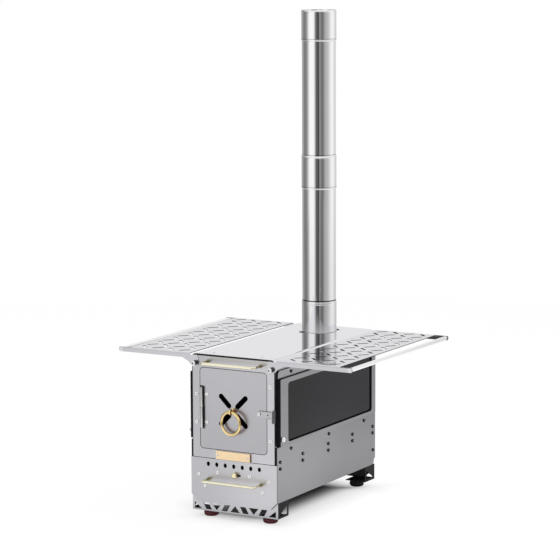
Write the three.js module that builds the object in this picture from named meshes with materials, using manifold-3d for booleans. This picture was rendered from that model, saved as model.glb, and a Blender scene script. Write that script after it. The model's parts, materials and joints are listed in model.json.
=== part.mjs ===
// Tent wood stove with glass sides, folding side shelves and a two-section chimney.
// Millimetres, +Z up. The front faces -Y, X is across the stove, and z = 0 is the ground.
// While it is built, y = 0 is the face of the door; the finished group is centred on the origin.
import * as THREE from 'three';
import { mergeVertices } from 'three/addons/utils/BufferGeometryUtils.js';
import Module from 'manifold-3d';

const wasm = await Module();
wasm.setup();

// ---------------------------------------------------------------- driving sizes
const GAP = 0.3;                 // clearance between pieces that are fastened face to face
const SHEET = 1.5;               // steel sheet of the body, the door and the shelves
const BODY_WIDTH = 214;           // over the shell
const SIDE_CLADDING = 4;          // skirts, drawer front and legs reach past the shell
const BODY_LENGTH = 480;
const BODY_HEIGHT = 324;
const STANDING_HEIGHT = 52.5;      // ground to the underside of the body
const SHELL_BEND = 10;           // outer radius of the two top bends of the shell
const ASH_HEIGHT = 86.5;         // height of the ash drawer's bay above the underside

const DOOR_STILE = 21;           // front sheet left and right of the door
const DOOR_HEAD = 31;            // top of the body down to the door
const DOOR_CORNER = 8.5;
const DOOR_GAP = 1;              // the slit all round the inset door
const DOOR_BOTTOM_ABOVE_SEAM = 22.5;
const STOP_DEPTH = 6;            // door face to the stop that the door closes against
const STOP_OVERLAP = 16;         // how far the stop reaches in behind the door's edge
const STOP_LAND = 5.5;           // how far the stop reaches out past the door's edge
const ROPE_WIDTH = 5;            // sealing rope on the stop
const ROPE_INSET = 8.5;          // door edge to the rope's outer side

const HINGE_BARREL_R = 4.5;
const HINGE_PIN_R = 2;
const HINGE_LENGTH = 93;
const HINGE_INSET = 6;           // door edge to the hinge axis
const HINGE_PROUD = 2.5;         // hinge axis in front of the door's face
const HINGE_BOTTOM_ABOVE_DOOR = 46.5;
const LEAF_REACH = 23;           // hinge axis to the outer edge of each leaf

const VENT_BELOW_MIDDLE = 1;     // middle of the door down to the centre of the air vent
const VENT_SLOT_WIDTH = 12.2;
const VENT_SLOT_INNER = 9.7;     // vent centre to the near tip of each slot
const VENT_TO_DOOR_EDGE = 35.5;  // measured from the far tip, as if the slot lay level
const VENT_DISC_RIM = 4;
const EYE_SHANK_R = 3;
const EYE_STANDOFF = 12;         // door face to the middle of the eye
const EYE_HOLE_R = 4.1;
const RING_R = 25.6;
const RING_WIRE_R = 3.4;

const LATCH_PIVOT_INSET = 18;    // door edge to the latch pivot
const LATCH_PIVOT_R = 2;
const LATCH_ARM_HEIGHT = 14;
const LATCH_REACH = 41;          // pivot to the finger tab
const LATCH_TAB_HEIGHT = 28;
const LATCH_TAB_DEPTH = 14;
const LATCH_STANDOFF = 1.9;      // door face to the back of the arm
const KEEPER_WIDTH = 11;

const HANDLE_SPAN = 136;         // both bow handles, post to post
const HANDLE_STANDOFF = 32;
const HANDLE_RIGHT = 2.5;        // both handles sit this far right of the middle
const TOP_HANDLE_BELOW_TOP = 16;
const DRAWER_HANDLE_HEIGHT = 38.8; // above the underside of the body
const HANDLE_ROD_R = 3;
const HANDLE_BEND = 7;

const PLATE_WIDTH = 88.8;        // wooden nameplate, left bare
const PLATE_HEIGHT = 18.6;
const PLATE_THICKNESS = 3.5;

const APRON_DROP = 15.6;         // the drawer front reaches this far below the body
const APRON_INSET = 18;
const AIR_HOLES = 7;
const AIR_HOLE_PITCH = 22.1;
const AIR_HOLE_RX = 4.2;
const AIR_HOLE_RZ = 5.3;
const AIR_HOLE_ABOVE_BASE = 73.4;
const SLIDE_KNOB_ABOVE_BASE = 54;
const SLIDE_KNOB_RIGHT = 4.8;
const SLIDE_KNOB_R = 6.8;
const SLIDE_KNOB_REACH = 9.5;
const SLIDE_SHANK_R = 2;
const TRAY_WALL = 1.2;
const TRAY_HEIGHT = 62;
const TRAY_FRONT_HEIGHT = 37;
const TRAY_SIDE_CLEARANCE = 5.5;
const TRAY_REAR_CLEARANCE = 30;

const GRATE_THICKNESS = 3;
const GRATE_ROWS = 14;
const GRATE_SLOT_WIDTH = 12;
const GRATE_RIB = 12;            // steel left at the middle and the sides of the grate
const RAIL_HEIGHT = 28;          // upright leg of the rails that carry the grate
const RAIL_LEDGE = 16;

const WINDOW_FRONT = 8.5;        // bezel outline, from the front and the rear of the body
const WINDOW_REAR = 12;
const WINDOW_BOTTOM = 127;       // above the underside of the body
const WINDOW_HEAD = 44;          // top of the body down to the bezel
const SIGHT_FRONT = 34;          // bezel borders round the glass
const SIGHT_REAR = 18.6;
const SIGHT_TOP = 11;
const SIGHT_BOTTOM = 7;
const SIGHT_CORNER = 8;
const SEAL_THICKNESS = 7.7;
const SEAL_COVER = 1.4;          // seal between the glass and the bezel
const GLASS_THICKNESS = 3;
const GLASS_MARGIN = 4;          // glass hidden behind the seal all round
const CLAMP_MARGIN = 6;
const BUTTON_INSET = 7.5;          // corner of the bezel to the round button
const BUTTON_RISE = 17;
const SKIRT_SHEET = 2;
const SKIRT_END = 1.8;           // front and rear ends, from those of the body
const SKIRT_CHAMFER = 16;
const HEAD_STRIP_HEIGHT = 17.5;
const HEAD_STRIP_END = 6.5;
const HEAD_STRIP_CORNER = 10;

const LEG_FRONT = 5;             // leg plate behind the face of the door
const LEG_DEPTH = 48;
const LEG_BAND_TOP = 18.5;       // top of the row of cut-outs above the foot flange
const LEG_STRUT = 5.5;
const LEG_CUTOUTS = 9;
const FOOT_R = 17;
const FOOT_HEIGHT = 15.7;
const FOOT_FROM_SIDE = 30;       // side of the body in to the centre of each foot
const FOOT_FROM_END = 31;

const SHELF_WIDTH = 158;
const SHELF_SIDE_GAP = 5;        // stove side to the shelf's inner edge
const SHELF_BEND = 5;
const SHELF_FLANGE = 11.5;
const SHELF_SLOT_PITCH = 33.5;    // along the box
const SHELF_SLOT_ACROSS = 35.3;   // between the columns
const SHELF_SLOT_OUTWARD = 2;     // the pattern sits this far out of the plate's middle
const SHELF_SLOT_LENGTH = 28;
const SHELF_SLOT_WIDTH = 7;
const SHELF_SLOT_COLUMNS = 4;
const SHELF_RAIL_OUT = 24;       // plate's outer edge to the rail's axis
const SHELF_RAIL_R = 4.8;
const SHELF_RAIL_DROP = 6.3;
const SHELF_TAB_END = 7;         // tab past the rail's axis
const TAB_SLOPE = 20;            // slope from the pivot's lug down to the plain flange
const PIVOT_INSET = 8.4;        // stove side in to the shelf pivot
const PIVOT_DROP = 22;           // stove top down to the shelf pivot
const PIVOT_R = 3;
const PIVOT_HEAD_R = 6;
const PIVOT_HEAD_LENGTH = 8.5;
const PIVOT_LUG_R = 9.5;

const PIPE_R = 40;
const PIPE_WALL = 1;
const PIPE_FIT = 0.3;
const SOCKET_BEAD = 1;
const FLUE_BASE_HEIGHT = 68.2;
const FLUE_FROM_REAR = 76;
const SECTION_OVERLAP = 60;      // pipe pushed into the socket below it
const LOWER_PLAIN_LENGTH = 273.5; // plain pipe that shows above the socket below it
const LOWER_SOCKET = 75;
const UPPER_PLAIN_LENGTH = 270;
const UPPER_SOCKET = 69;

// ---------------------------------------------------------------- sizes worked out from those
const HALF = BODY_WIDTH / 2;
const OUTER_HALF = HALF + SIDE_CLADDING;
const BASE_Z = STANDING_HEIGHT;
const TOP_Z = BASE_Z + BODY_HEIGHT;
const SEAM_Z = BASE_Z + ASH_HEIGHT;
const INNER_Y0 = SHEET + GAP;                    // the shell lies between the end panels
const INNER_Y1 = BODY_LENGTH - SHEET - GAP;
const INNER_HALF = HALF - SHEET - GAP;
const DOOR_Z0 = SEAM_Z + DOOR_BOTTOM_ABOVE_SEAM;
const DOOR_Z1 = TOP_Z - DOOR_HEAD;
const DOOR_WIDTH = BODY_WIDTH - DOOR_STILE * 2;
const VENT_Z = (DOOR_Z0 + DOOR_Z1) / 2 - VENT_BELOW_MIDDLE;
const VENT_SLOT_OUTER = DOOR_WIDTH / 2 - VENT_TO_DOOR_EDGE;
const LATCH_PIVOT_X = DOOR_WIDTH / 2 - LATCH_PIVOT_INSET;
const BEHIND_DOOR = SHEET + GAP;
const WINDOW_Y0 = WINDOW_FRONT;
const WINDOW_Y1 = BODY_LENGTH - WINDOW_REAR;
const WINDOW_Z0 = BASE_Z + WINDOW_BOTTOM;
const WINDOW_Z1 = TOP_Z - WINDOW_HEAD;
const SIGHT = {
  y0: WINDOW_Y0 + SIGHT_FRONT,
  y1: WINDOW_Y1 - SIGHT_REAR,
  z0: WINDOW_Z0 + SIGHT_BOTTOM,
  z1: WINDOW_Z1 - SIGHT_TOP,
};
const PIVOT_X = HALF - PIVOT_INSET;
const PIVOT_Z = TOP_Z - PIVOT_DROP;
const FLUE_Y = BODY_LENGTH - FLUE_FROM_REAR;
const SOCKET_R = PIPE_R + PIPE_FIT + PIPE_WALL;  // outer radius of every socket
const RAIL_LEDGE_Z = SEAM_Z - 2;                 // the ledge meets the seam of the front

// ---------------------------------------------------------------- materials
const steelSheet = { color: 0xb9babf, roughness: 0.38, metalness: 0.9 };
const polishedSteel = { color: 0xd4d5d8, roughness: 0.15, metalness: 1.0 };
const blackSeal = { color: 0x0c0b0e, roughness: 0.85, metalness: 0.0 };
const smokedGlass = { color: 0x3c3c40, roughness: 0.06, metalness: 0.0 };
const castIron = { color: 0x2b2b2d, roughness: 0.75, metalness: 0.6 };
const paleBrass = { color: 0xe6dcae, roughness: 0.25, metalness: 0.95 };
const goldBrass = { color: 0xd8ae5a, roughness: 0.25, metalness: 0.95 };
const paleWood = { color: 0xf0c890, roughness: 0.6, metalness: 0.0 };
const redRubber = { color: 0x4a1420, roughness: 0.7, metalness: 0.0 };
const ropeSeal = { color: 0x55524e, roughness: 0.95, metalness: 0.0 };

const stove = new THREE.Group();

// ---------------------------------------------------------------- making and joining solids
function signedVolume(geometry) {
  const p = geometry.attributes.position;
  const index = geometry.index.array;
  const a = new THREE.Vector3();
  const b = new THREE.Vector3();
  const c = new THREE.Vector3();
  let volume = 0;
  for (let i = 0; i < index.length; i += 3) {
    a.fromBufferAttribute(p, index[i]);
    b.fromBufferAttribute(p, index[i + 1]);
    c.fromBufferAttribute(p, index[i + 2]);
    volume += a.dot(b.cross(c));
  }
  return volume;
}

// A closed three.js geometry as a solid, with its faces turned outwards.
function solid(geometry) {
  const bare = geometry.clone();
  bare.deleteAttribute('normal');
  bare.deleteAttribute('uv');
  const merged = mergeVertices(bare, 1e-4);
  const triangles = [];
  const index = merged.index.array;
  for (let i = 0; i < index.length; i += 3) {
    const [a, b, c] = [index[i], index[i + 1], index[i + 2]];
    if (a !== b && b !== c && c !== a) triangles.push(a, b, c);
  }
  merged.setIndex(triangles);
  if (signedVolume(merged) < 0) triangles.reverse();
  return new wasm.Manifold(new wasm.Mesh({
    numProp: 3,
    vertProperties: new Float32Array(merged.attributes.position.array),
    triVerts: new Uint32Array(triangles),
  }));
}

const join = (...solids) => solids.reduce((sum, next) => sum.add(next));
const cut = (body, ...tools) => tools.reduce((left, tool) => left.subtract(tool), body);

function toGeometry(body) {
  const mesh = body.getMesh();
  const geometry = new THREE.BufferGeometry();
  geometry.setAttribute('position', new THREE.BufferAttribute(mesh.vertProperties, 3));
  geometry.setIndex(new THREE.BufferAttribute(mesh.triVerts, 1));
  geometry.computeVertexNormals();
  return geometry;
}

function addPiece(name, body, material) {
  const mesh = new THREE.Mesh(toGeometry(body), new THREE.MeshStandardMaterial(material));
  mesh.name = name;
  stove.add(mesh);
}

function box(x0, x1, y0, y1, z0, z1) {
  const geometry = new THREE.BoxGeometry(x1 - x0, y1 - y0, z1 - z0);
  return solid(geometry.translate((x0 + x1) / 2, (y0 + y1) / 2, (z0 + z1) / 2));
}

function extrude(shape, depth, steps) {
  return new THREE.ExtrudeGeometry(shape, { depth, bevelEnabled: false, curveSegments: steps });
}

// A plate standing across the stove: the outline holds (x, z), the thickness runs from y0 to y1.
function plateAcross(shape, y0, y1, steps = 3) {
  const turn = new THREE.Matrix4().makeBasis(
    new THREE.Vector3(1, 0, 0), new THREE.Vector3(0, 0, 1), new THREE.Vector3(0, -1, 0));
  return solid(extrude(shape, y1 - y0, steps).applyMatrix4(turn).translate(0, y1, 0));
}

// A plate standing along the stove: the outline holds (y, z), the thickness runs from x0 to x1.
function plateAlong(shape, x0, x1, steps = 3) {
  const turn = new THREE.Matrix4().makeBasis(
    new THREE.Vector3(0, 1, 0), new THREE.Vector3(0, 0, 1), new THREE.Vector3(1, 0, 0));
  return solid(extrude(shape, x1 - x0, steps).applyMatrix4(turn).translate(x0, 0, 0));
}

// A level plate: the outline holds (x, y), the thickness runs from z0 to z1.
function plateLevel(shape, z0, z1, steps = 3) {
  return solid(extrude(shape, z1 - z0, steps).translate(0, 0, z0));
}

function polygon(points) {
  return new THREE.Shape(points.map(([u, v]) => new THREE.Vector2(u, v)));
}

function roundedRectangle(u0, u1, v0, v1, r) {
  const shape = new THREE.Shape();
  shape.moveTo(u0 + r, v0);
  shape.lineTo(u1 - r, v0);
  shape.absarc(u1 - r, v0 + r, r, -Math.PI / 2, 0);
  shape.lineTo(u1, v1 - r);
  shape.absarc(u1 - r, v1 - r, r, 0, Math.PI / 2);
  shape.lineTo(u0 + r, v1);
  shape.absarc(u0 + r, v1 - r, r, Math.PI / 2, Math.PI);
  shape.lineTo(u0, v0 + r);
  shape.absarc(u0 + r, v0 + r, r, Math.PI, Math.PI * 1.5);
  return shape;
}

// A slot with round ends, centred at (u, v) and turned by the angle.
function slot(u, v, length, width, angle) {
  const r = width / 2;
  const reach = length / 2 - r;
  const shape = new THREE.Shape();
  shape.absarc(u + reach * Math.cos(angle), v + reach * Math.sin(angle), r,
    angle - Math.PI / 2, angle + Math.PI / 2);
  shape.absarc(u - reach * Math.cos(angle), v - reach * Math.sin(angle), r,
    angle + Math.PI / 2, angle + Math.PI * 1.5);
  return shape;
}

function ellipse(u, v, ru, rv) {
  const shape = new THREE.Shape();
  shape.absellipse(u, v, ru, rv, 0, Math.PI * 2);
  return shape;
}

// A round bar from end to end along one axis ('x', 'y' or 'z') through (u, v) across it.
function bar(axis, u, v, from, to, r, sides = 16) {
  const geometry = new THREE.CylinderGeometry(r, r, to - from, sides);
  const middle = (from + to) / 2;
  if (axis === 'x') return solid(geometry.rotateZ(Math.PI / 2).translate(middle, u, v));
  if (axis === 'y') return solid(geometry.translate(u, middle, v));
  return solid(geometry.rotateX(Math.PI / 2).translate(u, v, middle));
}

// A turned piece about an upright axis through (x, y): the profile holds (radius, z).
function turned(profile, x, y, sides) {
  const points = profile.map(([r, z]) => new THREE.Vector2(r, z));
  points.push(points[0].clone());
  return solid(new THREE.LatheGeometry(points, sides).rotateX(Math.PI / 2).translate(x, y, 0));
}

// A turned piece about an axis that runs along y through (x, z): the profile holds (radius, y).
function turnedAlong(profile, x, z, sides) {
  const points = profile.map(([r, y]) => new THREE.Vector2(r, y));
  return solid(new THREE.LatheGeometry(points, sides).translate(x, 0, z));
}

// The same plate on either side: side is 1 on the right and -1 on the left.
function sidePlate(shape, side, from, to, steps = 3) {
  return side > 0 ? plateAlong(shape, from, to, steps) : plateAlong(shape, -to, -from, steps);
}

const SIDES = [['left', -1], ['right', 1]];

// ---------------------------------------------------------------- body
// Upright sides and two round top bends: the shell, the end panels and the shelves share it.
function archOutline(u0, u1, bottom, top, bend) {
  const shape = new THREE.Shape();
  shape.moveTo(u0, bottom);
  shape.lineTo(u1, bottom);
  shape.lineTo(u1, top - bend);
  shape.absarc(u1 - bend, top - bend, bend, 0, Math.PI / 2);
  shape.lineTo(u0 + bend, top);
  shape.absarc(u0 + bend, top - bend, bend, Math.PI / 2, Math.PI);
  return shape;
}

const sightOutline = (grow) => roundedRectangle(SIGHT.y0 - grow, SIGHT.y1 + grow,
  SIGHT.z0 - grow, SIGHT.z1 + grow, SIGHT_CORNER + grow);

function bodyShell() {
  const outside = plateAcross(archOutline(-HALF, HALF, BASE_Z, TOP_Z, SHELL_BEND), 0, BODY_LENGTH);
  const hollow = plateAcross(archOutline(-HALF + SHEET, HALF - SHEET, BASE_Z - 1,
    TOP_Z - SHEET, SHELL_BEND - SHEET), -1, BODY_LENGTH + 1);
  const drawerRoom = box(-HALF - 1, HALF + 1, -1, INNER_Y0, BASE_Z - 1, SEAM_Z);
  const windows = plateAlong(sightOutline(0), -HALF - 1, HALF + 1);
  const flue = bar('z', 0, FLUE_Y, TOP_Z - SHELL_BEND, TOP_Z + 1, PIPE_R - 0.5, 32);
  return cut(outside, hollow, drawerRoom, windows, flue);
}

const pivotHole = (x, y0, y1) => bar('y', x, PIVOT_Z, y0, y1, PIVOT_R + GAP);

function endPanel(bottom, y0, y1) {
  const rim = SHEET + GAP;
  const panel = plateAcross(archOutline(-INNER_HALF, INNER_HALF, bottom, TOP_Z - rim,
    SHELL_BEND - rim), y0, y1);
  return cut(panel, pivotHole(-PIVOT_X, y0 - 1, y1 + 1), pivotHole(PIVOT_X, y0 - 1, y1 + 1));
}

function frontPanel() {
  const half = DOOR_WIDTH / 2 + DOOR_GAP;
  const opening = roundedRectangle(-half, half, DOOR_Z0 - DOOR_GAP, DOOR_Z1 + DOOR_GAP,
    DOOR_CORNER + DOOR_GAP);
  return cut(endPanel(SEAM_Z + DOOR_GAP, 0, SHEET), plateAcross(opening, -1, SHEET + 1));
}

function buildBody() {
  addPiece('body_shell', bodyShell(), steelSheet);
  addPiece('front_panel', frontPanel(), steelSheet);
  addPiece('back_panel', endPanel(BASE_Z, BODY_LENGTH - SHEET, BODY_LENGTH), steelSheet);
  addPiece('base_plate',
    box(-INNER_HALF, INNER_HALF, INNER_Y0, INNER_Y1, BASE_Z, BASE_Z + SHEET), steelSheet);
}

// ---------------------------------------------------------------- side windows and side plates
function windowPieces(name, side) {
  const bezelOutline = roundedRectangle(WINDOW_Y0, WINDOW_Y1, WINDOW_Z0, WINDOW_Z1, 3);
  const sealFrom = HALF + GAP;
  const sealTo = sealFrom + SEAL_THICKNESS;
  const sight = (from, to) => sidePlate(sightOutline(0), side, from, to);
  const glassTo = sealTo - SEAL_COVER - GAP;
  const glassFrom = glassTo - GLASS_THICKNESS;
  const seat = sidePlate(sightOutline(GLASS_MARGIN + GAP), side, glassFrom - GAP, glassTo + GAP);
  const sealBody = sidePlate(bezelOutline, side, sealFrom, sealTo);
  const seal = cut(sealBody, seat, sight(sealFrom - 1, sealTo + 1));
  addPiece(`window_seal_${name}`, seal, blackSeal);

  const bezelFrom = sealTo + GAP;
  const bezel = sidePlate(bezelOutline, side, bezelFrom, bezelFrom + SHEET);
  addPiece(`window_bezel_${name}`, cut(bezel, sight(bezelFrom - 1, bezelFrom + SHEET + 1)),
    steelSheet);

  // The glass lies in a groove of the seal; the clamp is inside the shell.
  addPiece(`window_glass_${name}`, sidePlate(sightOutline(GLASS_MARGIN), side, glassFrom,
    glassTo), smokedGlass);
  const clampTo = HALF - SHEET - GAP;
  const clamp = sidePlate(sightOutline(CLAMP_MARGIN), side, clampTo - SHEET, clampTo);
  addPiece(`glass_clamp_${name}`, cut(clamp, sight(clampTo - SHEET - 1, clampTo + 1)), steelSheet);

  // A low round button on the bezel's front border keeps the frame from sliding forward.
  const buttonY = WINDOW_Y0 + BUTTON_INSET;
  const buttonZ = WINDOW_Z0 + BUTTON_RISE;
  const buttonFrom = bezelFrom + SHEET + GAP;
  const button = bar('x', buttonY, buttonZ, buttonFrom, buttonFrom + 1.2, 5);
  addPiece(`window_button_${name}`, side > 0 ? button : button.mirror([1, 0, 0]), polishedSteel);
}

// A shallow pan: its rim stands on the shell and carries the sheet clear of it.
function sideSkirt(side) {
  const outline = (inset) => {
    const y0 = SKIRT_END + inset;
    const y1 = BODY_LENGTH - SKIRT_END - inset;
    const z0 = BASE_Z + inset;
    const z1 = WINDOW_Z0 - DOOR_GAP - inset;
    const corner = SKIRT_CHAMFER - inset * 0.6;
    return polygon([[y0, z0], [y1 - corner, z0], [y1, z0 + corner], [y1, z1], [y0, z1]]);
  };
  const hollow = sidePlate(outline(SHEET), side, HALF, OUTER_HALF - SKIRT_SHEET);
  return cut(sidePlate(outline(0), side, HALF + GAP, OUTER_HALF), hollow);
}

function headStrip(side) {
  const z0 = WINDOW_Z1 + DOOR_GAP;
  const outline = archOutline(HEAD_STRIP_END, BODY_LENGTH - HEAD_STRIP_END, z0,
    z0 + HEAD_STRIP_HEIGHT, HEAD_STRIP_CORNER);
  return sidePlate(outline, side, HALF + GAP, OUTER_HALF);
}

function buildSides() {
  for (const [name, side] of SIDES) {
    windowPieces(name, side);
    addPiece(`side_skirt_${name}`, sideSkirt(side), steelSheet);
    addPiece(`head_strip_${name}`, headStrip(side), steelSheet);
  }
}

// ---------------------------------------------------------------- firebox
function grateRail(side) {
  const upright = [INNER_HALF - SHEET, INNER_HALF];
  const ledge = [INNER_HALF - RAIL_LEDGE, INNER_HALF];
  const z0 = RAIL_LEDGE_Z - RAIL_HEIGHT / 2;
  const [y0, y1] = [INNER_Y0 + STOP_DEPTH, INNER_Y1 - GAP];
  const piece = (from, to, low, high) => side > 0
    ? box(from, to, y0, y1, low, high) : box(-to, -from, y0, y1, low, high);
  return join(piece(...upright, z0, z0 + RAIL_HEIGHT),
    piece(...ledge, RAIL_LEDGE_Z, RAIL_LEDGE_Z + SHEET));
}

function fireGrate() {
  const half = INNER_HALF - SHEET - GAP;
  const y0 = INNER_Y0 + STOP_DEPTH + GAP;
  const y1 = INNER_Y1 - GAP * 2;
  const z0 = RAIL_LEDGE_Z + SHEET + GAP;
  let grate = box(-half, half, y0, y1, z0, z0 + GRATE_THICKNESS);
  const pitch = (y1 - y0 - GRATE_RIB * 2) / GRATE_ROWS;
  const outer = INNER_HALF - RAIL_LEDGE - GRATE_RIB / 2;
  for (let row = 0; row < GRATE_ROWS; row += 1) {
    const middle = y0 + GRATE_RIB + pitch * (row + 0.5);
    const [from, to] = [middle - GRATE_SLOT_WIDTH / 2, middle + GRATE_SLOT_WIDTH / 2];
    for (const [x0, x1] of [[-outer, -GRATE_RIB / 2], [GRATE_RIB / 2, outer]]) {
      grate = cut(grate, box(x0, x1, from, to, z0 - 1, z0 + GRATE_THICKNESS + 1));
    }
  }
  return grate;
}

function buildFirebox() {
  for (const [name, side] of SIDES) addPiece(`grate_rail_${name}`, grateRail(side), steelSheet);
  addPiece('fire_grate', fireGrate(), castIron);
}

// ---------------------------------------------------------------- door, its stop and its hinge
const HINGE_X = -DOOR_WIDTH / 2 + HINGE_INSET;
const HINGE_Y = -HINGE_PROUD;
const HINGE_Z0 = DOOR_Z0 + HINGE_BOTTOM_ABOVE_DOOR;
const HINGE_Z1 = HINGE_Z0 + HINGE_LENGTH;
const HINGE_ROOM = 2;            // free space round the barrel in the door's notch
const HINGE_HEAD = 1.5;          // the pin's head above the upper barrel

const ventSlotShapes = () => [1, 3, 5, 7].map((k) => {
  const angle = k * Math.PI / 4;
  const middle = (VENT_SLOT_INNER + VENT_SLOT_OUTER) / 2;
  return slot(middle * Math.cos(angle), VENT_Z + middle * Math.sin(angle),
    VENT_SLOT_OUTER - VENT_SLOT_INNER, VENT_SLOT_WIDTH, angle);
});

function cutVent(plate, y0, y1) {
  const tools = ventSlotShapes().map((shape) => plateAcross(shape, y0 - 1, y1 + 1, 4));
  return cut(plate, ...tools, bar('y', 0, VENT_Z, y0 - 1, y1 + 1, EYE_SHANK_R + GAP));
}

function doorPanel() {
  const half = DOOR_WIDTH / 2;
  const plate = plateAcross(
    roundedRectangle(-half, half, DOOR_Z0, DOOR_Z1, DOOR_CORNER), 0, SHEET);
  const notch = box(-half - 1, HINGE_X + HINGE_BARREL_R + HINGE_ROOM, -1, SHEET + 1,
    HINGE_Z0 - HINGE_ROOM, HINGE_Z1 + HINGE_HEAD + HINGE_ROOM);
  const latchHole = bar('y', LATCH_PIVOT_X, VENT_Z, -1, SHEET + 1, LATCH_PIVOT_R + GAP);
  return cut(cutVent(plate, 0, SHEET), notch, latchHole);
}

function ventDisc() {
  const y0 = BEHIND_DOOR;
  const disc = bar('y', 0, VENT_Z, y0, y0 + SHEET, VENT_SLOT_OUTER + VENT_DISC_RIM, 40);
  return cutVent(disc, y0, y0 + SHEET);
}

// One leaf with half of the barrel; reach is -1 towards the frame and 1 towards the door.
function hingeLeaf(reach, z0, z1) {
  const plateY = BEHIND_DOOR;
  const edge = HINGE_X + reach * LEAF_REACH;
  const web = HINGE_BARREL_R / 2;
  const leaf = join(
    bar('z', HINGE_X, HINGE_Y, z0, z1, HINGE_BARREL_R, 20),
    box(HINGE_X - web, HINGE_X + web, HINGE_Y, plateY + SHEET, z0, z1),
    box(Math.min(HINGE_X, edge), Math.max(HINGE_X, edge), plateY, plateY + SHEET, z0, z1));
  return cut(leaf, bar('z', HINGE_X, HINGE_Y, z0 - 1, z1 + 1, HINGE_PIN_R + GAP, 12));
}

function hingePin() {
  return join(bar('z', HINGE_X, HINGE_Y, HINGE_Z0 + 1, HINGE_Z1 + GAP, HINGE_PIN_R, 12),
    bar('z', HINGE_X, HINGE_Y, HINGE_Z1 + GAP, HINGE_Z1 + HINGE_HEAD, HINGE_BARREL_R - 1, 12));
}

function stopFrame() {
  const half = DOOR_WIDTH / 2;
  const out = [half + STOP_LAND, DOOR_Z0 - STOP_LAND, DOOR_Z1 + STOP_LAND];
  const tray = box(-out[0], out[0], BEHIND_DOOR, STOP_DEPTH + SHEET, out[1], out[2]);
  const hollow = box(-out[0] + SHEET, out[0] - SHEET, 0, STOP_DEPTH,
    out[1] + SHEET, out[2] - SHEET);
  const way = plateAcross(roundedRectangle(-half + STOP_OVERLAP, half - STOP_OVERLAP,
    DOOR_Z0 + STOP_OVERLAP, DOOR_Z1 - STOP_OVERLAP, DOOR_CORNER), 0, STOP_DEPTH + SHEET + 1);
  const leafWay = box(-out[0] - 1, -half, 0, STOP_DEPTH - GAP, HINGE_Z0 - 1, HINGE_Z1 + 1);
  return cut(tray, hollow, way, leafWay);
}

function sealingRope() {
  const ring = (inset, y0, y1) => plateAcross(
    roundedRectangle(-DOOR_WIDTH / 2 + inset, DOOR_WIDTH / 2 - inset, DOOR_Z0 + inset,
      DOOR_Z1 - inset, DOOR_CORNER), y0, y1);
  const rope = cut(ring(ROPE_INSET, BEHIND_DOOR, STOP_DEPTH - GAP),
    ring(ROPE_INSET + ROPE_WIDTH, 0, STOP_DEPTH + 1));
  const leafEnd = HINGE_X + LEAF_REACH + 1;
  return cut(rope, box(HINGE_X, leafEnd, 0, BEHIND_DOOR + SHEET + GAP,
    HINGE_Z0 - 1, HINGE_Z0 + HINGE_LENGTH / 2 + 1));
}

// Eye bolt: a ball with a hole across it, a shank through the door, and a nut that carries the disc.
function ringEye() {
  const nutY = BEHIND_DOOR + SHEET + GAP;
  const eyeR = EYE_HOLE_R + 2.6;
  const ball = new THREE.CylinderGeometry(eyeR, eyeR, 5, 20).rotateZ(Math.PI / 2);
  const body = join(
    solid(ball.translate(0, -EYE_STANDOFF, VENT_Z)),
    bar('y', 0, VENT_Z, -EYE_STANDOFF + EYE_HOLE_R + 0.8, nutY + 3, EYE_SHANK_R),
    bar('y', 0, VENT_Z, -GAP - 1.6, -GAP, EYE_SHANK_R + 3.5, 20),
    bar('y', 0, VENT_Z, nutY, nutY + 3, EYE_SHANK_R + 2.5, 6));
  return cut(body, bar('x', -EYE_STANDOFF, VENT_Z, -4, 4, EYE_HOLE_R, 16));
}

// The ring hangs in the eye: its wire rests on the lower side of the eye's hole.
const RING_TOP_Z = VENT_Z - (EYE_HOLE_R - RING_WIRE_R - GAP);
const RING_Z = RING_TOP_Z - RING_R;

function pullRing() {
  const ring = new THREE.TorusGeometry(RING_R, RING_WIRE_R, 8, 36).rotateX(Math.PI / 2);
  return solid(ring.translate(0, -EYE_STANDOFF, RING_Z));
}

function latchPivot() {
  const back = -LATCH_STANDOFF;
  const front = back - SHEET - GAP;
  return join(
    bar('y', LATCH_PIVOT_X, VENT_Z, front - 1.8, BEHIND_DOOR + 2, LATCH_PIVOT_R, 12),
    bar('y', LATCH_PIVOT_X, VENT_Z, front - 1.8, front, LATCH_PIVOT_R + 2, 16),
    bar('y', LATCH_PIVOT_X, VENT_Z, back + GAP, -GAP, LATCH_PIVOT_R + 2, 16),
    bar('y', LATCH_PIVOT_X, VENT_Z, BEHIND_DOOR, BEHIND_DOOR + 2, LATCH_PIVOT_R + 2, 6));
}

function latchLever() {
  const back = -LATCH_STANDOFF;
  const end = LATCH_PIVOT_X + LATCH_REACH;
  const half = LATCH_ARM_HEIGHT / 2;
  const arm = plateAcross(
    roundedRectangle(LATCH_PIVOT_X - half, end, VENT_Z - half, VENT_Z + half, half - 1),
    back - SHEET, back);
  const tab = box(end - SHEET, end, back - SHEET - LATCH_TAB_DEPTH, back,
    VENT_Z - LATCH_TAB_HEIGHT / 2 - 2, VENT_Z + LATCH_TAB_HEIGHT / 2 - 2);
  const foot = box(end - half, end, back - SHEET, back,
    VENT_Z - LATCH_TAB_HEIGHT / 2 - 2, VENT_Z + LATCH_TAB_HEIGHT / 2 - 2);
  const eyelet = bar('y', DOOR_WIDTH / 2 + 4.5, VENT_Z, back - SHEET - 1, back + 1, 2, 12);
  return cut(join(arm, tab, foot), eyelet,
    bar('y', LATCH_PIVOT_X, VENT_Z, back - SHEET - 1, back + 1, LATCH_PIVOT_R + GAP, 12));
}

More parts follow.
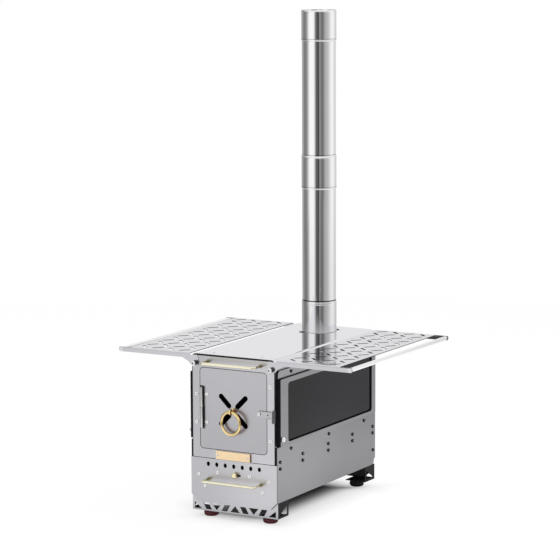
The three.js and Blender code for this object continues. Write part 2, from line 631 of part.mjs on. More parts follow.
// The keeper is screwed to the frame, and its turned-out lower edge carries the closed lever.
function latchKeeper() {
  const x0 = DOOR_WIDTH / 2 + DOOR_GAP + 1;
  const top = VENT_Z + LATCH_ARM_HEIGHT / 2;
  const ledge = VENT_Z - LATCH_ARM_HEIGHT / 2 - GAP;
  const plateFront = -GAP - (LATCH_STANDOFF - GAP * 2);
  return join(
    box(x0, x0 + KEEPER_WIDTH, plateFront, -GAP, ledge - SHEET, top),
    box(x0, x0 + KEEPER_WIDTH, -LATCH_STANDOFF - SHEET - 1, -GAP, ledge - SHEET, ledge));
}

function buildDoor() {
  addPiece('door_stop_frame', stopFrame(), steelSheet);
  addPiece('door_rope_seal', sealingRope(), ropeSeal);
  const middle = HINGE_Z0 + HINGE_LENGTH / 2;
  addPiece('hinge_frame_leaf', hingeLeaf(-1, middle + GAP, HINGE_Z1), steelSheet);
  addPiece('hinge_pin', hingePin(), polishedSteel);
  addPiece('hinge_door_leaf', hingeLeaf(1, HINGE_Z0, middle), steelSheet);
  addPiece('door_panel', doorPanel(), steelSheet);
  addPiece('vent_disc', ventDisc(), steelSheet);
  addPiece('ring_eye', ringEye(), goldBrass);
  addPiece('pull_ring', pullRing(), goldBrass);
  addPiece('latch_pivot', latchPivot(), polishedSteel);
  addPiece('latch_lever', latchLever(), steelSheet);
  addPiece('latch_keeper', latchKeeper(), steelSheet);
}

// ---------------------------------------------------------------- handles and nameplate
// A rod bent to a U: both ends stop at the face that it is screwed to.
function bowHandle(z) {
  const half = HANDLE_SPAN / 2;
  const standoff = HANDLE_STANDOFF;
  const bend = HANDLE_BEND;
  const path = new THREE.CurvePath();
  const at = (x, y) => new THREE.Vector3(x + HANDLE_RIGHT, y, z);
  const corner = (x, y, side) => new THREE.QuadraticBezierCurve3(
    at(x, y + bend), at(x, y), at(x - side * bend, y));
  const left = corner(-half, -standoff, -1);
  const right = corner(half, -standoff, 1);
  path.add(new THREE.LineCurve3(at(-half, -GAP), left.v0));
  path.add(left);
  path.add(new THREE.LineCurve3(left.v2, right.v2));
  path.add(new THREE.QuadraticBezierCurve3(right.v2, right.v1, right.v0));
  path.add(new THREE.LineCurve3(right.v0, at(half, -GAP)));
  // The rod is swept piece by piece so that its straight runs stay straight.
  const places = [at(-half, -GAP)];
  for (const [index, curve] of path.curves.entries()) {
    const steps = index % 2 === 1 ? 4 : 1;
    for (let i = 1; i <= steps; i += 1) places.push(curve.getPoint(i / steps));
  }
  return rodAlong(places, HANDLE_ROD_R, 8);
}

// A rod that lies in a level plane and follows the points, with mitred joints.
function rodAlong(places, r, sides) {
  const rings = places.map((place, i) => {
    const before = places[Math.max(i - 1, 0)];
    const after = places[Math.min(i + 1, places.length - 1)];
    const inward = place.clone().sub(before).normalize();
    const outward = after.clone().sub(place).normalize();
    if (i === 0) inward.copy(outward);
    if (i === places.length - 1) outward.copy(inward);
    const along = inward.clone().add(outward).normalize();
    const across = new THREE.Vector3(0, 0, 1).cross(along).normalize();
    const stretch = 1 / Math.max(along.dot(outward), 0.5);
    return Array.from({ length: sides }, (_, k) => {
      const angle = (k + 0.5) * Math.PI * 2 / sides;
      return place.clone().addScaledVector(across, r * stretch * Math.cos(angle))
        .add(new THREE.Vector3(0, 0, r * Math.sin(angle)));
    });
  });
  const geometry = new THREE.BufferGeometry();
  const points = rings.flat().concat([places[0], places[places.length - 1]]);
  geometry.setFromPoints(points);
  const index = [];
  const last = (rings.length - 1) * sides;
  for (let i = 0; i < rings.length - 1; i += 1) {
    for (let k = 0; k < sides; k += 1) {
      const [a, b] = [i * sides + k, i * sides + (k + 1) % sides];
      index.push(a, b, b + sides, a, b + sides, a + sides);
    }
  }
  for (let k = 0; k < sides; k += 1) {
    const next = (k + 1) % sides;
    index.push(points.length - 2, next, k, points.length - 1, last + k, last + next);
  }
  geometry.setIndex(index);
  return solid(geometry);
}

function buildTrim() {
  addPiece('top_handle', bowHandle(TOP_Z - TOP_HANDLE_BELOW_TOP), paleBrass);
  const half = PLATE_WIDTH / 2;
  const z0 = SEAM_Z + DOOR_GAP;
  addPiece('nameplate', plateAcross(roundedRectangle(-half, half, z0, z0 + PLATE_HEIGHT, 1.5),
    -GAP - PLATE_THICKNESS, -GAP), paleWood);
}

// ---------------------------------------------------------------- ash drawer and its air slide
const AIR_Z = BASE_Z + AIR_HOLE_ABOVE_BASE;
const SLIDE_Z = BASE_Z + SLIDE_KNOB_ABOVE_BASE;
const SLIDE_THICKNESS = 1.2;
const SLIDE_HALF = (AIR_HOLES * AIR_HOLE_PITCH) / 2;
const SLIDE_TRAVEL = AIR_HOLE_PITCH / 2;
const SLIDE_Z0 = SLIDE_Z - 8;
const SLIDE_Z1 = AIR_Z + AIR_HOLE_RZ + 3.5;
const TRACK_LIP = 3;

function airHoles(y0, y1) {
  const first = -(AIR_HOLES - 1) / 2;
  return Array.from({ length: AIR_HOLES }, (_, i) => plateAcross(
    ellipse((first + i) * AIR_HOLE_PITCH, AIR_Z, AIR_HOLE_RX, AIR_HOLE_RZ), y0, y1, 8));
}

function drawerFront() {
  const top = SEAM_Z - GAP;
  const low = BASE_Z - APRON_DROP;
  const half = OUTER_HALF;
  const inner = half - APRON_INSET;
  const outline = polygon([[-inner, low], [inner, low], [half, BASE_Z + 1], [half, top],
    [-half, top], [-half, BASE_Z + 1]]);
  const slotWidth = SLIDE_SHANK_R * 2 + 1.2;
  const knobSlot = slot(SLIDE_KNOB_RIGHT + SLIDE_TRAVEL / 2, SLIDE_Z, SLIDE_TRAVEL + slotWidth,
    slotWidth, 0);
  return cut(plateAcross(outline, 0, SHEET), ...airHoles(-1, SHEET + 1),
    plateAcross(knobSlot, -1, SHEET + 1));
}

function ventSlide() {
  const y0 = BEHIND_DOOR;
  const plate = box(-SLIDE_HALF, SLIDE_HALF, y0, y0 + SLIDE_THICKNESS, SLIDE_Z0, SLIDE_Z1);
  return cut(plate, ...airHoles(y0 - 1, y0 + SLIDE_THICKNESS + 1));
}

// A frame screwed behind the drawer front: its lips hold the slide and leave it room to travel.
function slideTrack() {
  const y0 = BEHIND_DOOR;
  const lipY = y0 + SLIDE_THICKNESS + GAP;
  const x0 = -SLIDE_HALF - GAP - 4;
  const x1 = SLIDE_HALF + SLIDE_TRAVEL + GAP + 4;
  const whole = box(x0, x1, y0, lipY + SLIDE_THICKNESS, SLIDE_Z0 - GAP - 3, SLIDE_Z1 + GAP + 2);
  const bed = box(x0 + 4, x1 - 4, y0 - 1, lipY, SLIDE_Z0 - GAP, SLIDE_Z1 + GAP);
  const window = box(x0 + 4 + TRACK_LIP, x1 - 4 - TRACK_LIP, y0 - 1, lipY + SLIDE_THICKNESS + 1,
    SLIDE_Z0 + TRACK_LIP, SLIDE_Z1 - TRACK_LIP);
  return cut(whole, bed, window);
}

function slideKnob() {
  const r = SLIDE_KNOB_R;
  const tip = -SLIDE_KNOB_REACH;
  return turnedAlong([[0, tip], [r * 0.6, tip + 0.5], [r, tip + 2.2], [r, tip + 4.4],
    [r * 0.55, tip + 6.4], [r * 0.55, -GAP - 0.2], [SLIDE_SHANK_R, -GAP - 0.2],
    [SLIDE_SHANK_R, SHEET], [0, SHEET]], SLIDE_KNOB_RIGHT, SLIDE_Z, 16);
}

function drawerTray() {
  const half = INNER_HALF - TRAY_SIDE_CLEARANCE;
  const y0 = BEHIND_DOOR;
  const y1 = BODY_LENGTH - TRAY_REAR_CLEARANCE;
  const z0 = BASE_Z + SHEET + GAP;
  const outside = box(-half, half, y0, y1, z0, z0 + TRAY_HEIGHT);
  const inside = box(-half + TRAY_WALL, half - TRAY_WALL, y0 + TRAY_WALL, y1 - TRAY_WALL,
    z0 + TRAY_WALL, z0 + TRAY_HEIGHT + 1);
  // Behind the air slide the front wall is low, so that the draught reaches the grate.
  const trackRoom = SLIDE_THICKNESS * 2 + GAP * 3;
  const airWay = box(-half - 1, half + 1, y0 - 1, y0 + trackRoom, z0 + TRAY_FRONT_HEIGHT,
    z0 + TRAY_HEIGHT + 1);
  return cut(outside, inside, airWay);
}

function buildDrawer() {
  addPiece('drawer_front', drawerFront(), steelSheet);
  addPiece('drawer_tray', drawerTray(), steelSheet);
  addPiece('drawer_handle', bowHandle(BASE_Z + DRAWER_HANDLE_HEIGHT), paleBrass);
  addPiece('air_slide_track', slideTrack(), steelSheet);
  addPiece('air_slide', ventSlide(), steelSheet);
  addPiece('air_slide_knob', slideKnob(), paleBrass);
}

// ---------------------------------------------------------------- legs and feet
const LEG_Z0 = FOOT_HEIGHT + GAP;
const LEG_Z1 = BASE_Z - GAP;
const LEG_HALF = OUTER_HALF;

// The row of cut-outs in the leg plate: leaning bars between triangles, as in a girder.
function girderCutouts() {
  const low = LEG_Z0 + SHEET + 2;
  const high = LEG_Z0 + LEG_BAND_TOP;
  const rise = high - low;
  const pitch = (LEG_HALF * 2 - LEG_STRUT) / LEG_CUTOUTS;
  const shapes = [];
  for (let i = 0; i < LEG_CUTOUTS; i += 1) {
    const u0 = -LEG_HALF + LEG_STRUT + pitch * i;
    const u1 = u0 + pitch - LEG_STRUT;
    const middle = (u0 + u1) / 2;
    if (i === 0) shapes.push([[u0, low], [u1, low], [u0, high]]);
    else if (i === LEG_CUTOUTS - 1) shapes.push([[u0, low], [u1, low], [u1, high]]);
    else if (i % 4 === 0) shapes.push([[u0 - 3, low], [u1 + 3, low], [middle, high]]);
    else if (i % 4 === 2) shapes.push([[u0 - 3, high], [middle, low], [u1 + 3, high]]);
    else {
      const lean = (i % 4 === 1 ? -1 : 1) * rise * 0.28;
      shapes.push([[u0 + 2 - lean, low], [u1 - 2 - lean, low], [u1 - 2 + lean, high],
        [u0 + 2 + lean, high]]);
    }
  }
  return shapes.map(polygon);
}

function legFrame() {
  const y0 = LEG_FRONT;
  const y1 = y0 + LEG_DEPTH;
  const plate = cut(box(-LEG_HALF, LEG_HALF, y0, y0 + SHEET, LEG_Z0, LEG_Z1),
    ...girderCutouts().map((shape) => plateAcross(shape, y0 - 1, y0 + SHEET + 1)));
  const flange = box(-LEG_HALF, LEG_HALF, y0, y1, LEG_Z1 - SHEET, LEG_Z1);
  const parts = [plate, flange];
  const rise = LEG_Z1 - LEG_Z0;
  const window = polygon([[y0 + LEG_STRUT, LEG_Z0 + LEG_STRUT],
    [y1 - LEG_STRUT, LEG_Z0 + LEG_STRUT], [y1 - LEG_STRUT, LEG_Z0 + rise - LEG_STRUT * 1.6]]);
  const footHalf = HALF - FOOT_FROM_SIDE;
  for (const [, side] of SIDES) {
    const from = LEG_HALF - SHEET;
    const cheek = side > 0 ? box(from, LEG_HALF, y0, y1, LEG_Z0, LEG_Z1)
      : box(-LEG_HALF, -from, y0, y1, LEG_Z0, LEG_Z1);
    parts.push(cut(cheek, plateAlong(window, side > 0 ? from - 1 : -LEG_HALF - 1,
      side > 0 ? LEG_HALF + 1 : -from + 1)));
    const pad = [footHalf - FOOT_R - 2, LEG_HALF];
    parts.push(side > 0 ? box(pad[0], pad[1], y0, y1, LEG_Z0, LEG_Z0 + SHEET)
      : box(-pad[1], -pad[0], y0, y1, LEG_Z0, LEG_Z0 + SHEET));
  }
  return join(...parts);
}

function foot(x, y) {
  const r = FOOT_R;
  return turned([[0, 0], [r - 2, 0], [r, 3], [r, FOOT_HEIGHT - 4], [r - 1.5, FOOT_HEIGHT],
    [0, FOOT_HEIGHT]], x, y, 20);
}

function buildLegs() {
  const front = legFrame();
  addPiece('front_leg_frame', front, steelSheet);
  addPiece('rear_leg_frame', front.mirror([0, 1, 0]).translate([0, BODY_LENGTH, 0]), steelSheet);
  for (const [name, side] of SIDES) {
    const x = side * (HALF - FOOT_FROM_SIDE);
    addPiece(`foot_front_${name}`, foot(x, FOOT_FROM_END), redRubber);
    addPiece(`foot_rear_${name}`, foot(x, BODY_LENGTH - FOOT_FROM_END), redRubber);
  }
}

// ---------------------------------------------------------------- folding shelves
const SHELF_X0 = HALF + SHELF_SIDE_GAP;
const SHELF_X1 = SHELF_X0 + SHELF_WIDTH;
const SHELF_Y0 = -GAP - SHEET;
const SHELF_Y1 = BODY_LENGTH + GAP + SHEET;
const RAIL_X = SHELF_X1 + SHELF_RAIL_OUT;
const RAIL_Z = TOP_Z - SHELF_RAIL_DROP;

function shelfSlots() {
  const rows = Math.floor((SHELF_Y1 - SHELF_Y0 - SHELF_SLOT_PITCH * 1.4) / SHELF_SLOT_PITCH) + 1;
  const columns = SHELF_SLOT_COLUMNS;
  const shapes = [];
  for (let row = 0; row < rows; row += 1) {
    for (let column = 0; column < columns; column += 1) {
      const x = (SHELF_X0 + SHELF_X1) / 2 + SHELF_SLOT_OUTWARD
        + (column - (columns - 1) / 2) * SHELF_SLOT_ACROSS;
      const y = (SHELF_Y0 + SHELF_Y1) / 2 + (row - (rows - 1) / 2) * SHELF_SLOT_PITCH;
      const lean = (row + column) % 2 === 0 ? 3 : 1;
      shapes.push(slot(x, y, SHELF_SLOT_LENGTH, SHELF_SLOT_WIDTH, lean * Math.PI / 4));
    }
  }
  return shapes;
}

// The sheet with both end flanges turned down over round bends.
function shelfSheet() {
  const low = TOP_Z - SHELF_FLANGE;
  const outer = archOutline(SHELF_Y0, SHELF_Y1, low, TOP_Z, SHELF_BEND);
  const inner = archOutline(SHELF_Y0 + SHEET, SHELF_Y1 - SHEET, low - 1, TOP_Z - SHEET,
    SHELF_BEND - SHEET);
  return cut(plateAlong(outer, SHELF_X0, SHELF_X1), plateAlong(inner, SHELF_X0 - 1, SHELF_X1 + 1));
}

// The tab of one end: it reaches in to the pivot lug and out past the plate to the rail.
function shelfTab() {
  const top = TOP_Z - SHELF_BEND;
  const bottom = TOP_Z - SHELF_FLANGE;
  const end = RAIL_X + SHELF_TAB_END;
  const shape = new THREE.Shape();
  shape.moveTo(end, bottom + 3);
  shape.lineTo(end, top + 3);
  shape.lineTo(end - 2, top + 4);
  shape.lineTo(SHELF_X1, top + 4);
  shape.lineTo(SHELF_X1 - 3, top);
  shape.lineTo(SHELF_X0 + 3, top);
  shape.lineTo(PIVOT_X - 5, TOP_Z - 3);
  shape.lineTo(PIVOT_X - 9, TOP_Z - 9);
  shape.absarc(PIVOT_X, PIVOT_Z, PIVOT_LUG_R, Math.PI, Math.PI * 1.75);
  shape.lineTo(SHELF_X0 + 6, PIVOT_Z + 4);
  shape.lineTo(SHELF_X0 + TAB_SLOPE, bottom);
  shape.lineTo(end - 3, bottom);
  return shape;
}

function shelfPlate() {
  const slots = shelfSlots().map((shape) => plateLevel(shape, TOP_Z - SHEET - 1, TOP_Z + 1, 2));
  const tabs = [[SHELF_Y0, SHELF_Y0 + SHEET], [SHELF_Y1 - SHEET, SHELF_Y1]]
    .map(([y0, y1]) => plateAcross(shelfTab(), y0, y1));
  const holes = tabs.map((_, i) => {
    const y = i === 0 ? SHELF_Y0 : SHELF_Y1 - SHEET;
    return pivotHole(PIVOT_X, y - 1, y + SHEET + 1);
  });
  return cut(join(shelfSheet(), ...tabs), ...slots, ...holes);
}

// A bolt with a large round head and a socket; side is -1 at the front and 1 at the rear.
function shelfBolt(x, atRear) {
  const headBack = GAP * 2 + SHEET;
  const headFront = headBack + PIVOT_HEAD_LENGTH;
  const profile = [[0, -headFront + 3], [2.8, -headFront + 3], [2.8, -headFront],
    [PIVOT_HEAD_R - 1.5, -headFront], [PIVOT_HEAD_R, -headFront + 1.5], [PIVOT_HEAD_R, -headBack],
    [PIVOT_R, -headBack], [PIVOT_R, SHEET + GAP], [PIVOT_R + 2.5, SHEET + GAP],
    [PIVOT_R + 2.5, SHEET + GAP + 4], [0, SHEET + GAP + 4]];
  const bolt = turnedAlong(profile, x, PIVOT_Z, 16);
  return atRear ? bolt.mirror([0, 1, 0]).translate([0, BODY_LENGTH, 0]) : bolt;
}

function buildShelves() {
  const plate = shelfPlate();
  const rail = bar('y', RAIL_X, RAIL_Z, SHELF_Y0 + SHEET + GAP, SHELF_Y1 - SHEET - GAP,
    SHELF_RAIL_R);
  for (const [name, side] of SIDES) {
    const place = (body) => (side > 0 ? body : body.mirror([1, 0, 0]));
    addPiece(`shelf_${name}`, place(plate), polishedSteel);
    addPiece(`shelf_rail_${name}`, place(rail), polishedSteel);
    addPiece(`shelf_bolt_front_${name}`, shelfBolt(side * PIVOT_X, false), polishedSteel);
    addPiece(`shelf_bolt_rear_${name}`, shelfBolt(side * PIVOT_X, true), polishedSteel);
  }
}

// ---------------------------------------------------------------- flue and chimney
const PIPE_SIDES = 36;
const EAR_REACH = 8;

// The base sleeve: a spigot through the shell, a foot ring with two ears, and a socket.
function flueBase() {
  const z0 = TOP_Z + GAP;
  const z1 = z0 + FLUE_BASE_HEIGHT;
  const inner = SOCKET_R - PIPE_WALL;
  const spigotOut = PIPE_R - 1.5;
  const spigotIn = spigotOut - PIPE_WALL;
  const sleeve = turned([[spigotIn, TOP_Z - 8], [spigotOut, TOP_Z - 8], [spigotOut, z0],
    [SOCKET_R + 2, z0], [SOCKET_R + 2, z0 + 1], [SOCKET_R, z0 + 2], [SOCKET_R, z1], [inner, z1],
    [inner, z0 + 5], [spigotIn, z0 + 2]], 0, FLUE_Y, PIPE_SIDES);
  const ear = box(SOCKET_R - 0.5, SOCKET_R + EAR_REACH, FLUE_Y - 5, FLUE_Y + 5, z0, z0 + SHEET);
  return join(sleeve, ear, ear.mirror([1, 0, 0]));
}

// One pipe: plain below, and widened to a socket at its top with a bead at both ends of it.
function chimneySection(z0, clear, socket) {
  const shoulder = z0 + SECTION_OVERLAP + clear;
  const top = shoulder + socket;
  const inner = SOCKET_R - PIPE_WALL;
  const bead = SOCKET_R + SOCKET_BEAD;
  return turned([[PIPE_R - PIPE_WALL, z0], [PIPE_R, z0], [PIPE_R, shoulder],
    [bead, shoulder + 1], [bead, shoulder + 2.5], [SOCKET_R, shoulder + 4], [SOCKET_R, top - 4],
    [bead, top - 2.5], [bead, top - 1], [SOCKET_R, top], [inner, top], [inner, shoulder + 4],
    [PIPE_R - PIPE_WALL, shoulder + 2]], 0, FLUE_Y, PIPE_SIDES);
}

function buildChimney() {
  addPiece('flue_base_sleeve', flueBase(), polishedSteel);
  const first = TOP_Z + GAP + FLUE_BASE_HEIGHT - SECTION_OVERLAP;
  addPiece('chimney_section_lower', chimneySection(first, LOWER_PLAIN_LENGTH, LOWER_SOCKET),
    polishedSteel);
  const second = first + LOWER_PLAIN_LENGTH + LOWER_SOCKET;
  addPiece('chimney_section_upper', chimneySection(second, UPPER_PLAIN_LENGTH, UPPER_SOCKET),
    polishedSteel);
}

// ---------------------------------------------------------------- the whole stove
buildBody();
buildSides();
buildFirebox();
buildDoor();
buildTrim();
buildDrawer();
buildLegs();
buildShelves();
buildChimney();

// The origin is under the middle of the whole stove, on the ground.
const bounds = new THREE.Box3().setFromObject(stove);
stove.position.y = -(bounds.min.y + bounds.max.y) / 2;

export default stove;
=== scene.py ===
# %% [markdown]
# # A tent wood stove in stainless steel
# The solids come packed from the CAD source of the stove. This lesson sets up the camera and the
# light of a studio photograph, gives each metal its finish, turns the round pieces anew so that
# their highlights run smoothly, and lets Geometry Nodes set the screws. All lengths are in metres,
# and the front of the stove looks towards -Y.

import json
import math

import bmesh
import bpy
from mathutils import Matrix, Vector

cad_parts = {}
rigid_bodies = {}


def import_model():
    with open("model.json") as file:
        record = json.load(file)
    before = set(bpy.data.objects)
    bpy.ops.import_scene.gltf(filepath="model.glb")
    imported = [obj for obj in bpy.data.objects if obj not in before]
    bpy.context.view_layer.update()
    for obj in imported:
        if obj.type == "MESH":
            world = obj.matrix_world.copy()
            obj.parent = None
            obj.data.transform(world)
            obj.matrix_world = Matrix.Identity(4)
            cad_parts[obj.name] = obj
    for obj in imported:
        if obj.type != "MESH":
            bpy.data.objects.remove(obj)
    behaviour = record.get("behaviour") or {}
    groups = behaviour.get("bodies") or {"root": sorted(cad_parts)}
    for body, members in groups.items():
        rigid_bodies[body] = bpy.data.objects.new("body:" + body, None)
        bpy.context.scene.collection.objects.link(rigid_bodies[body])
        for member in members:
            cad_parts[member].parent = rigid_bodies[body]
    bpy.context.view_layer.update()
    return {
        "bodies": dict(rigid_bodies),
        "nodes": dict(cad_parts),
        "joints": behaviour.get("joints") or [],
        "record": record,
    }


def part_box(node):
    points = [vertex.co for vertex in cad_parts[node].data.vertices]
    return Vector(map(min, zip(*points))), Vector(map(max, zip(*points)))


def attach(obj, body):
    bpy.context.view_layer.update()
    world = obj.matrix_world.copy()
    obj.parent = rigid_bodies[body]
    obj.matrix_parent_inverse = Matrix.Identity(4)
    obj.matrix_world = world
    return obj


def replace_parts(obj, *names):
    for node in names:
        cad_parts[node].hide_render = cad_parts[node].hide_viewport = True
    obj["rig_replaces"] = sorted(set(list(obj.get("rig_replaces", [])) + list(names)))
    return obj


scene = bpy.context.scene
scene.view_settings.view_transform = "Standard"
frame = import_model()
nodes = frame["nodes"]


def turns(count):
    """The angles that divide a full turn evenly."""
    return [math.tau * k / count for k in range(count)]


def put(name, data):
    """A new object of the scene."""
    made = bpy.data.objects.new(name, data)
    scene.collection.objects.link(made)
    return made


# %% [markdown]
# ## The camera
# A long lens far away keeps the upright edges nearly parallel. Its place was solved from the
# corners of the box in the photograph, so the numbers stand as they were found.

# %% Camera
# The turn from straight ahead towards the stove's right side, the rise and the roll.
VIEW_ROUND, VIEW_ABOVE, VIEW_ROLL = (math.radians(a) for a in (29.341, 8.178, -0.212))
VIEW_DISTANCE, VIEW_TARGET = 5.644, Vector((-0.01241, 0.00918, 0.51788))
SENSOR, LENS, SIGHT = 36, 157.41, 60  # sensor and lens in millimetres, and the far clip

camera_data = bpy.data.cameras.new("studio_camera")
camera_data.sensor_width, camera_data.lens, camera_data.clip_end = SENSOR, LENS, SIGHT
camera = scene.camera = put("studio_camera", camera_data)

backward = Vector((math.sin(VIEW_ROUND) * math.cos(VIEW_ABOVE),
                   -math.cos(VIEW_ROUND) * math.cos(VIEW_ABOVE), math.sin(VIEW_ABOVE)))
level = Vector((math.cos(VIEW_ROUND), math.sin(VIEW_ROUND), 0))
upward = backward.cross(level)
right = math.cos(VIEW_ROLL) * level + math.sin(VIEW_ROLL) * upward
top = math.cos(VIEW_ROLL) * upward - math.sin(VIEW_ROLL) * level
turn = Matrix((right, top, backward)).transposed().to_4x4()
camera.matrix_world = Matrix.Translation(VIEW_TARGET + backward * VIEW_DISTANCE) @ turn
print("camera at", [round(v, 2) for v in camera.matrix_world.translation])

# %% [markdown]
# ## Writing shader maths as expressions
# A long tree of nodes is hard to read. The small class below wraps an output socket, so that
# `grain * 0.2 + 0.4` adds the Math nodes by itself, and `Finish` makes every other node. Places
# and directions are read in the piece's own coordinates, so a pattern stays on a swinging door.

# %% Shader helper


def operator(operation):
    """A method that adds one Math node for this operation."""
    def apply(self, other=0.0):
        return self.finish.math(operation, self, other)
    return apply


class Value:
    """One output of a shader tree. Arithmetic on it adds Math nodes."""

    def __init__(self, finish, socket):
        self.finish, self.socket = finish, socket

    def __rsub__(self, other):
        return self.finish.math("SUBTRACT", other, self)

    __add__ = __radd__ = operator("ADD")
    __mul__ = __rmul__ = operator("MULTIPLY")
    __sub__ = operator("SUBTRACT")
    __truediv__ = operator("DIVIDE")
    __gt__ = operator("GREATER_THAN")
    __lt__ = operator("LESS_THAN")
    __abs__ = operator("ABSOLUTE")
    more_of = operator("MAXIMUM")


class Finish:
    """A shader tree that grows by one call for each node."""

    def __init__(self, tree):
        self.tree = tree

    def add(self, kind, settings=None, inputs=None, out=0):
        node = self.tree.nodes.new(kind)
        for key, setting in (settings or {}).items():
            setattr(node, key, setting)
        for key, value in (inputs or {}).items():
            self.feed(node.inputs[key], value)
        return Value(self, node.outputs[out])

    def feed(self, socket, value):
        if isinstance(value, Value):
            self.tree.links.new(value.socket, socket)
        else:
            socket.default_value = value

    def math(self, operation, first, second=0.0):
        return self.add("ShaderNodeMath", {"operation": operation}, {0: first, 1: second})

    def place(self):
        return self.add("ShaderNodeTexCoord", out="Object")

    def axis(self, name):
        return self.add("ShaderNodeSeparateXYZ", None, {0: self.place()}, out=name)

    def facing(self, name):
        """How far the surface looks along one axis, from -1 to 1."""
        normal = self.add("ShaderNodeTexCoord", out="Normal")
        return self.add("ShaderNodeSeparateXYZ", None, {0: normal}, out=name)

    def ramp(self, value, low, high, from_tone=0.0, to_tone=1.0):
        """A soft step: from_tone below low, to_tone above high."""
        return self.add("ShaderNodeMapRange", {"interpolation_type": "SMOOTHSTEP"},
                        {"Value": value, "From Min": low, "From Max": high,
                         "To Min": from_tone, "To Max": to_tone}, out="Result")

    def noise(self, stretch, scale, detail=3.0, roughness=0.5):
        """Noise from about 0.3 to 0.7; stretch scales it along X, Y and Z."""
        spot = self.add("ShaderNodeMapping", None, {"Vector": self.place(), "Scale": stretch})
        return self.add("ShaderNodeTexNoise", {"noise_dimensions": "3D"},
                        {"Vector": spot, "Scale": scale, "Detail": detail,
                         "Roughness": roughness})

    def mix(self, mask, first, second):
        return self.add("ShaderNodeMix", {"data_type": "RGBA"},
                        {0: mask, 6: first, 7: second}, out=2)

    def grey(self, shade, blue=1.0, green=1.0):
        return self.add("ShaderNodeCombineColor", None,
                        {0: shade, 1: shade * green, 2: shade * blue})

    def bump(self, height, strength, distance):
        return self.add("ShaderNodeBump", None,
                        {"Height": height, "Strength": strength, "Distance": distance})


def new_material(name, **fixed):
    """A new material; fixed holds the values that are the same all over."""
    material = bpy.data.materials.new(name)
    material.use_nodes = True
    shader = material.node_tree.nodes["Principled BSDF"]
    for key, value in fixed.items():
        shader.inputs[key.replace("_", " ").title().replace("Ior", "IOR")].default_value = value
    return material, Finish(material.node_tree), shader


def grey(tone):
    return (tone, tone, tone, 1)


print("shader helper ready")

# %% [markdown]
# ## The studio
# Polished steel shows the room. So the world is white to the camera, plain grey as a light, and
# for reflections a ring of bright and dark screens, as a photographer sets them up. A colour ramp
# runs once round the horizon. Its middle is the side of the camera, which the pipes mirror, and
# its pale ends are behind the stove, which the hob mirrors at a low slant. Higher up the screens
# give way to a pale ceiling.

# %% World
SCREENS = (  # the way round the room and the tone there
    (0.00, 0.84), (0.025, 0.84), (0.05, 0.50), (0.12, 0.40), (0.165, 0.24), (0.20, 0.20),
    (0.245, 0.28), (0.275, 0.48), (0.30, 0.84), (0.325, 1.00), (0.39, 1.00), (0.41, 0.80),
    (0.428, 0.42), (0.443, 0.10), (0.462, 0.15), (0.478, 0.05), (0.495, 0.07), (0.515, 0.34),
    (0.535, 0.19), (0.575, 0.17), (0.61, 0.42), (0.67, 0.54), (0.72, 0.80), (0.745, 0.94),
    (0.80, 0.94), (0.84, 0.78), (0.88, 0.62), (0.94, 0.80), (0.965, 0.84), (1.00, 0.84))
AMBIENT = 0.86  # the room as a light on matte surfaces
CEILING = 0.88
CEILING_FROM, CEILING_FULL = 0.19, 0.42  # the sine of the height where the screens give way


def screens_at(finish, east, north):
    """The tone of the screens in one direction from the stove."""
    bearing = finish.math("ARCTAN2", east, north * -1.0)
    way_round = finish.math("FRACT", bearing / math.tau + (1.5 - VIEW_ROUND / math.tau))
    ramp = finish.add("ShaderNodeValToRGB", None, {0: way_round})
    stops = ramp.socket.node.color_ramp.elements
    while len(stops) < len(SCREENS):
        stops.new(0.5)
    for stop, (position, tone) in zip(stops, SCREENS):
        stop.position, stop.color = position, grey(tone)
    return ramp


world = scene.world = bpy.data.worlds.new("studio_world")
world.use_nodes = True
studio = Finish(world.node_tree)
direction = studio.add("ShaderNodeTexCoord", out="Generated")
east, north, height = (studio.add("ShaderNodeSeparateXYZ", None, {0: direction}, out=name)
                       for name in "XYZ")
reflected = studio.mix(studio.ramp(height, CEILING_FROM, CEILING_FULL),
                       screens_at(studio, east, north), grey(CEILING))
seen = studio.add("ShaderNodeLightPath", out="Is Camera Ray")
glossy = studio.add("ShaderNodeLightPath", out="Is Glossy Ray")
room = studio.mix(seen, studio.mix(glossy, grey(AMBIENT), reflected), grey(1.0))
studio.feed(world.node_tree.nodes["Background"].inputs["Color"], room)
print("world with", len(SCREENS), "stops round the room")

# %% [markdown]
# The floor is a white disc. Near the stove it takes a real shadow, deepened by painted shade under
# the box, where the photograph is nearly black, and a painted share of glowing white shapes the
# shadow and fades it to plain white, to meet the world without a line. Metal sees the floor as
# much as the room, so for reflections the floor glows with the tones of the screens by its
# bearing, a painted reflection that is white close by, with painted shade where the stove stands
# on it.

# %% Floor
FLOOR_RADIUS, FLOOR_SIDES = 3.2, 96
HALF_WIDTH, HALF_LENGTH, MIDDLE_Y = 0.111, 0.240, 0.012  # the box as the floor sees it
LEFT_SPREAD, REAR_SPREAD = 0.055, 0.020  # how much wider the shade is there
# The tone of the painted shade under the box, and the tone of the paper.
PAINTED_UNDER_SHADE, PAPER_TONE = 0.20, 0.95

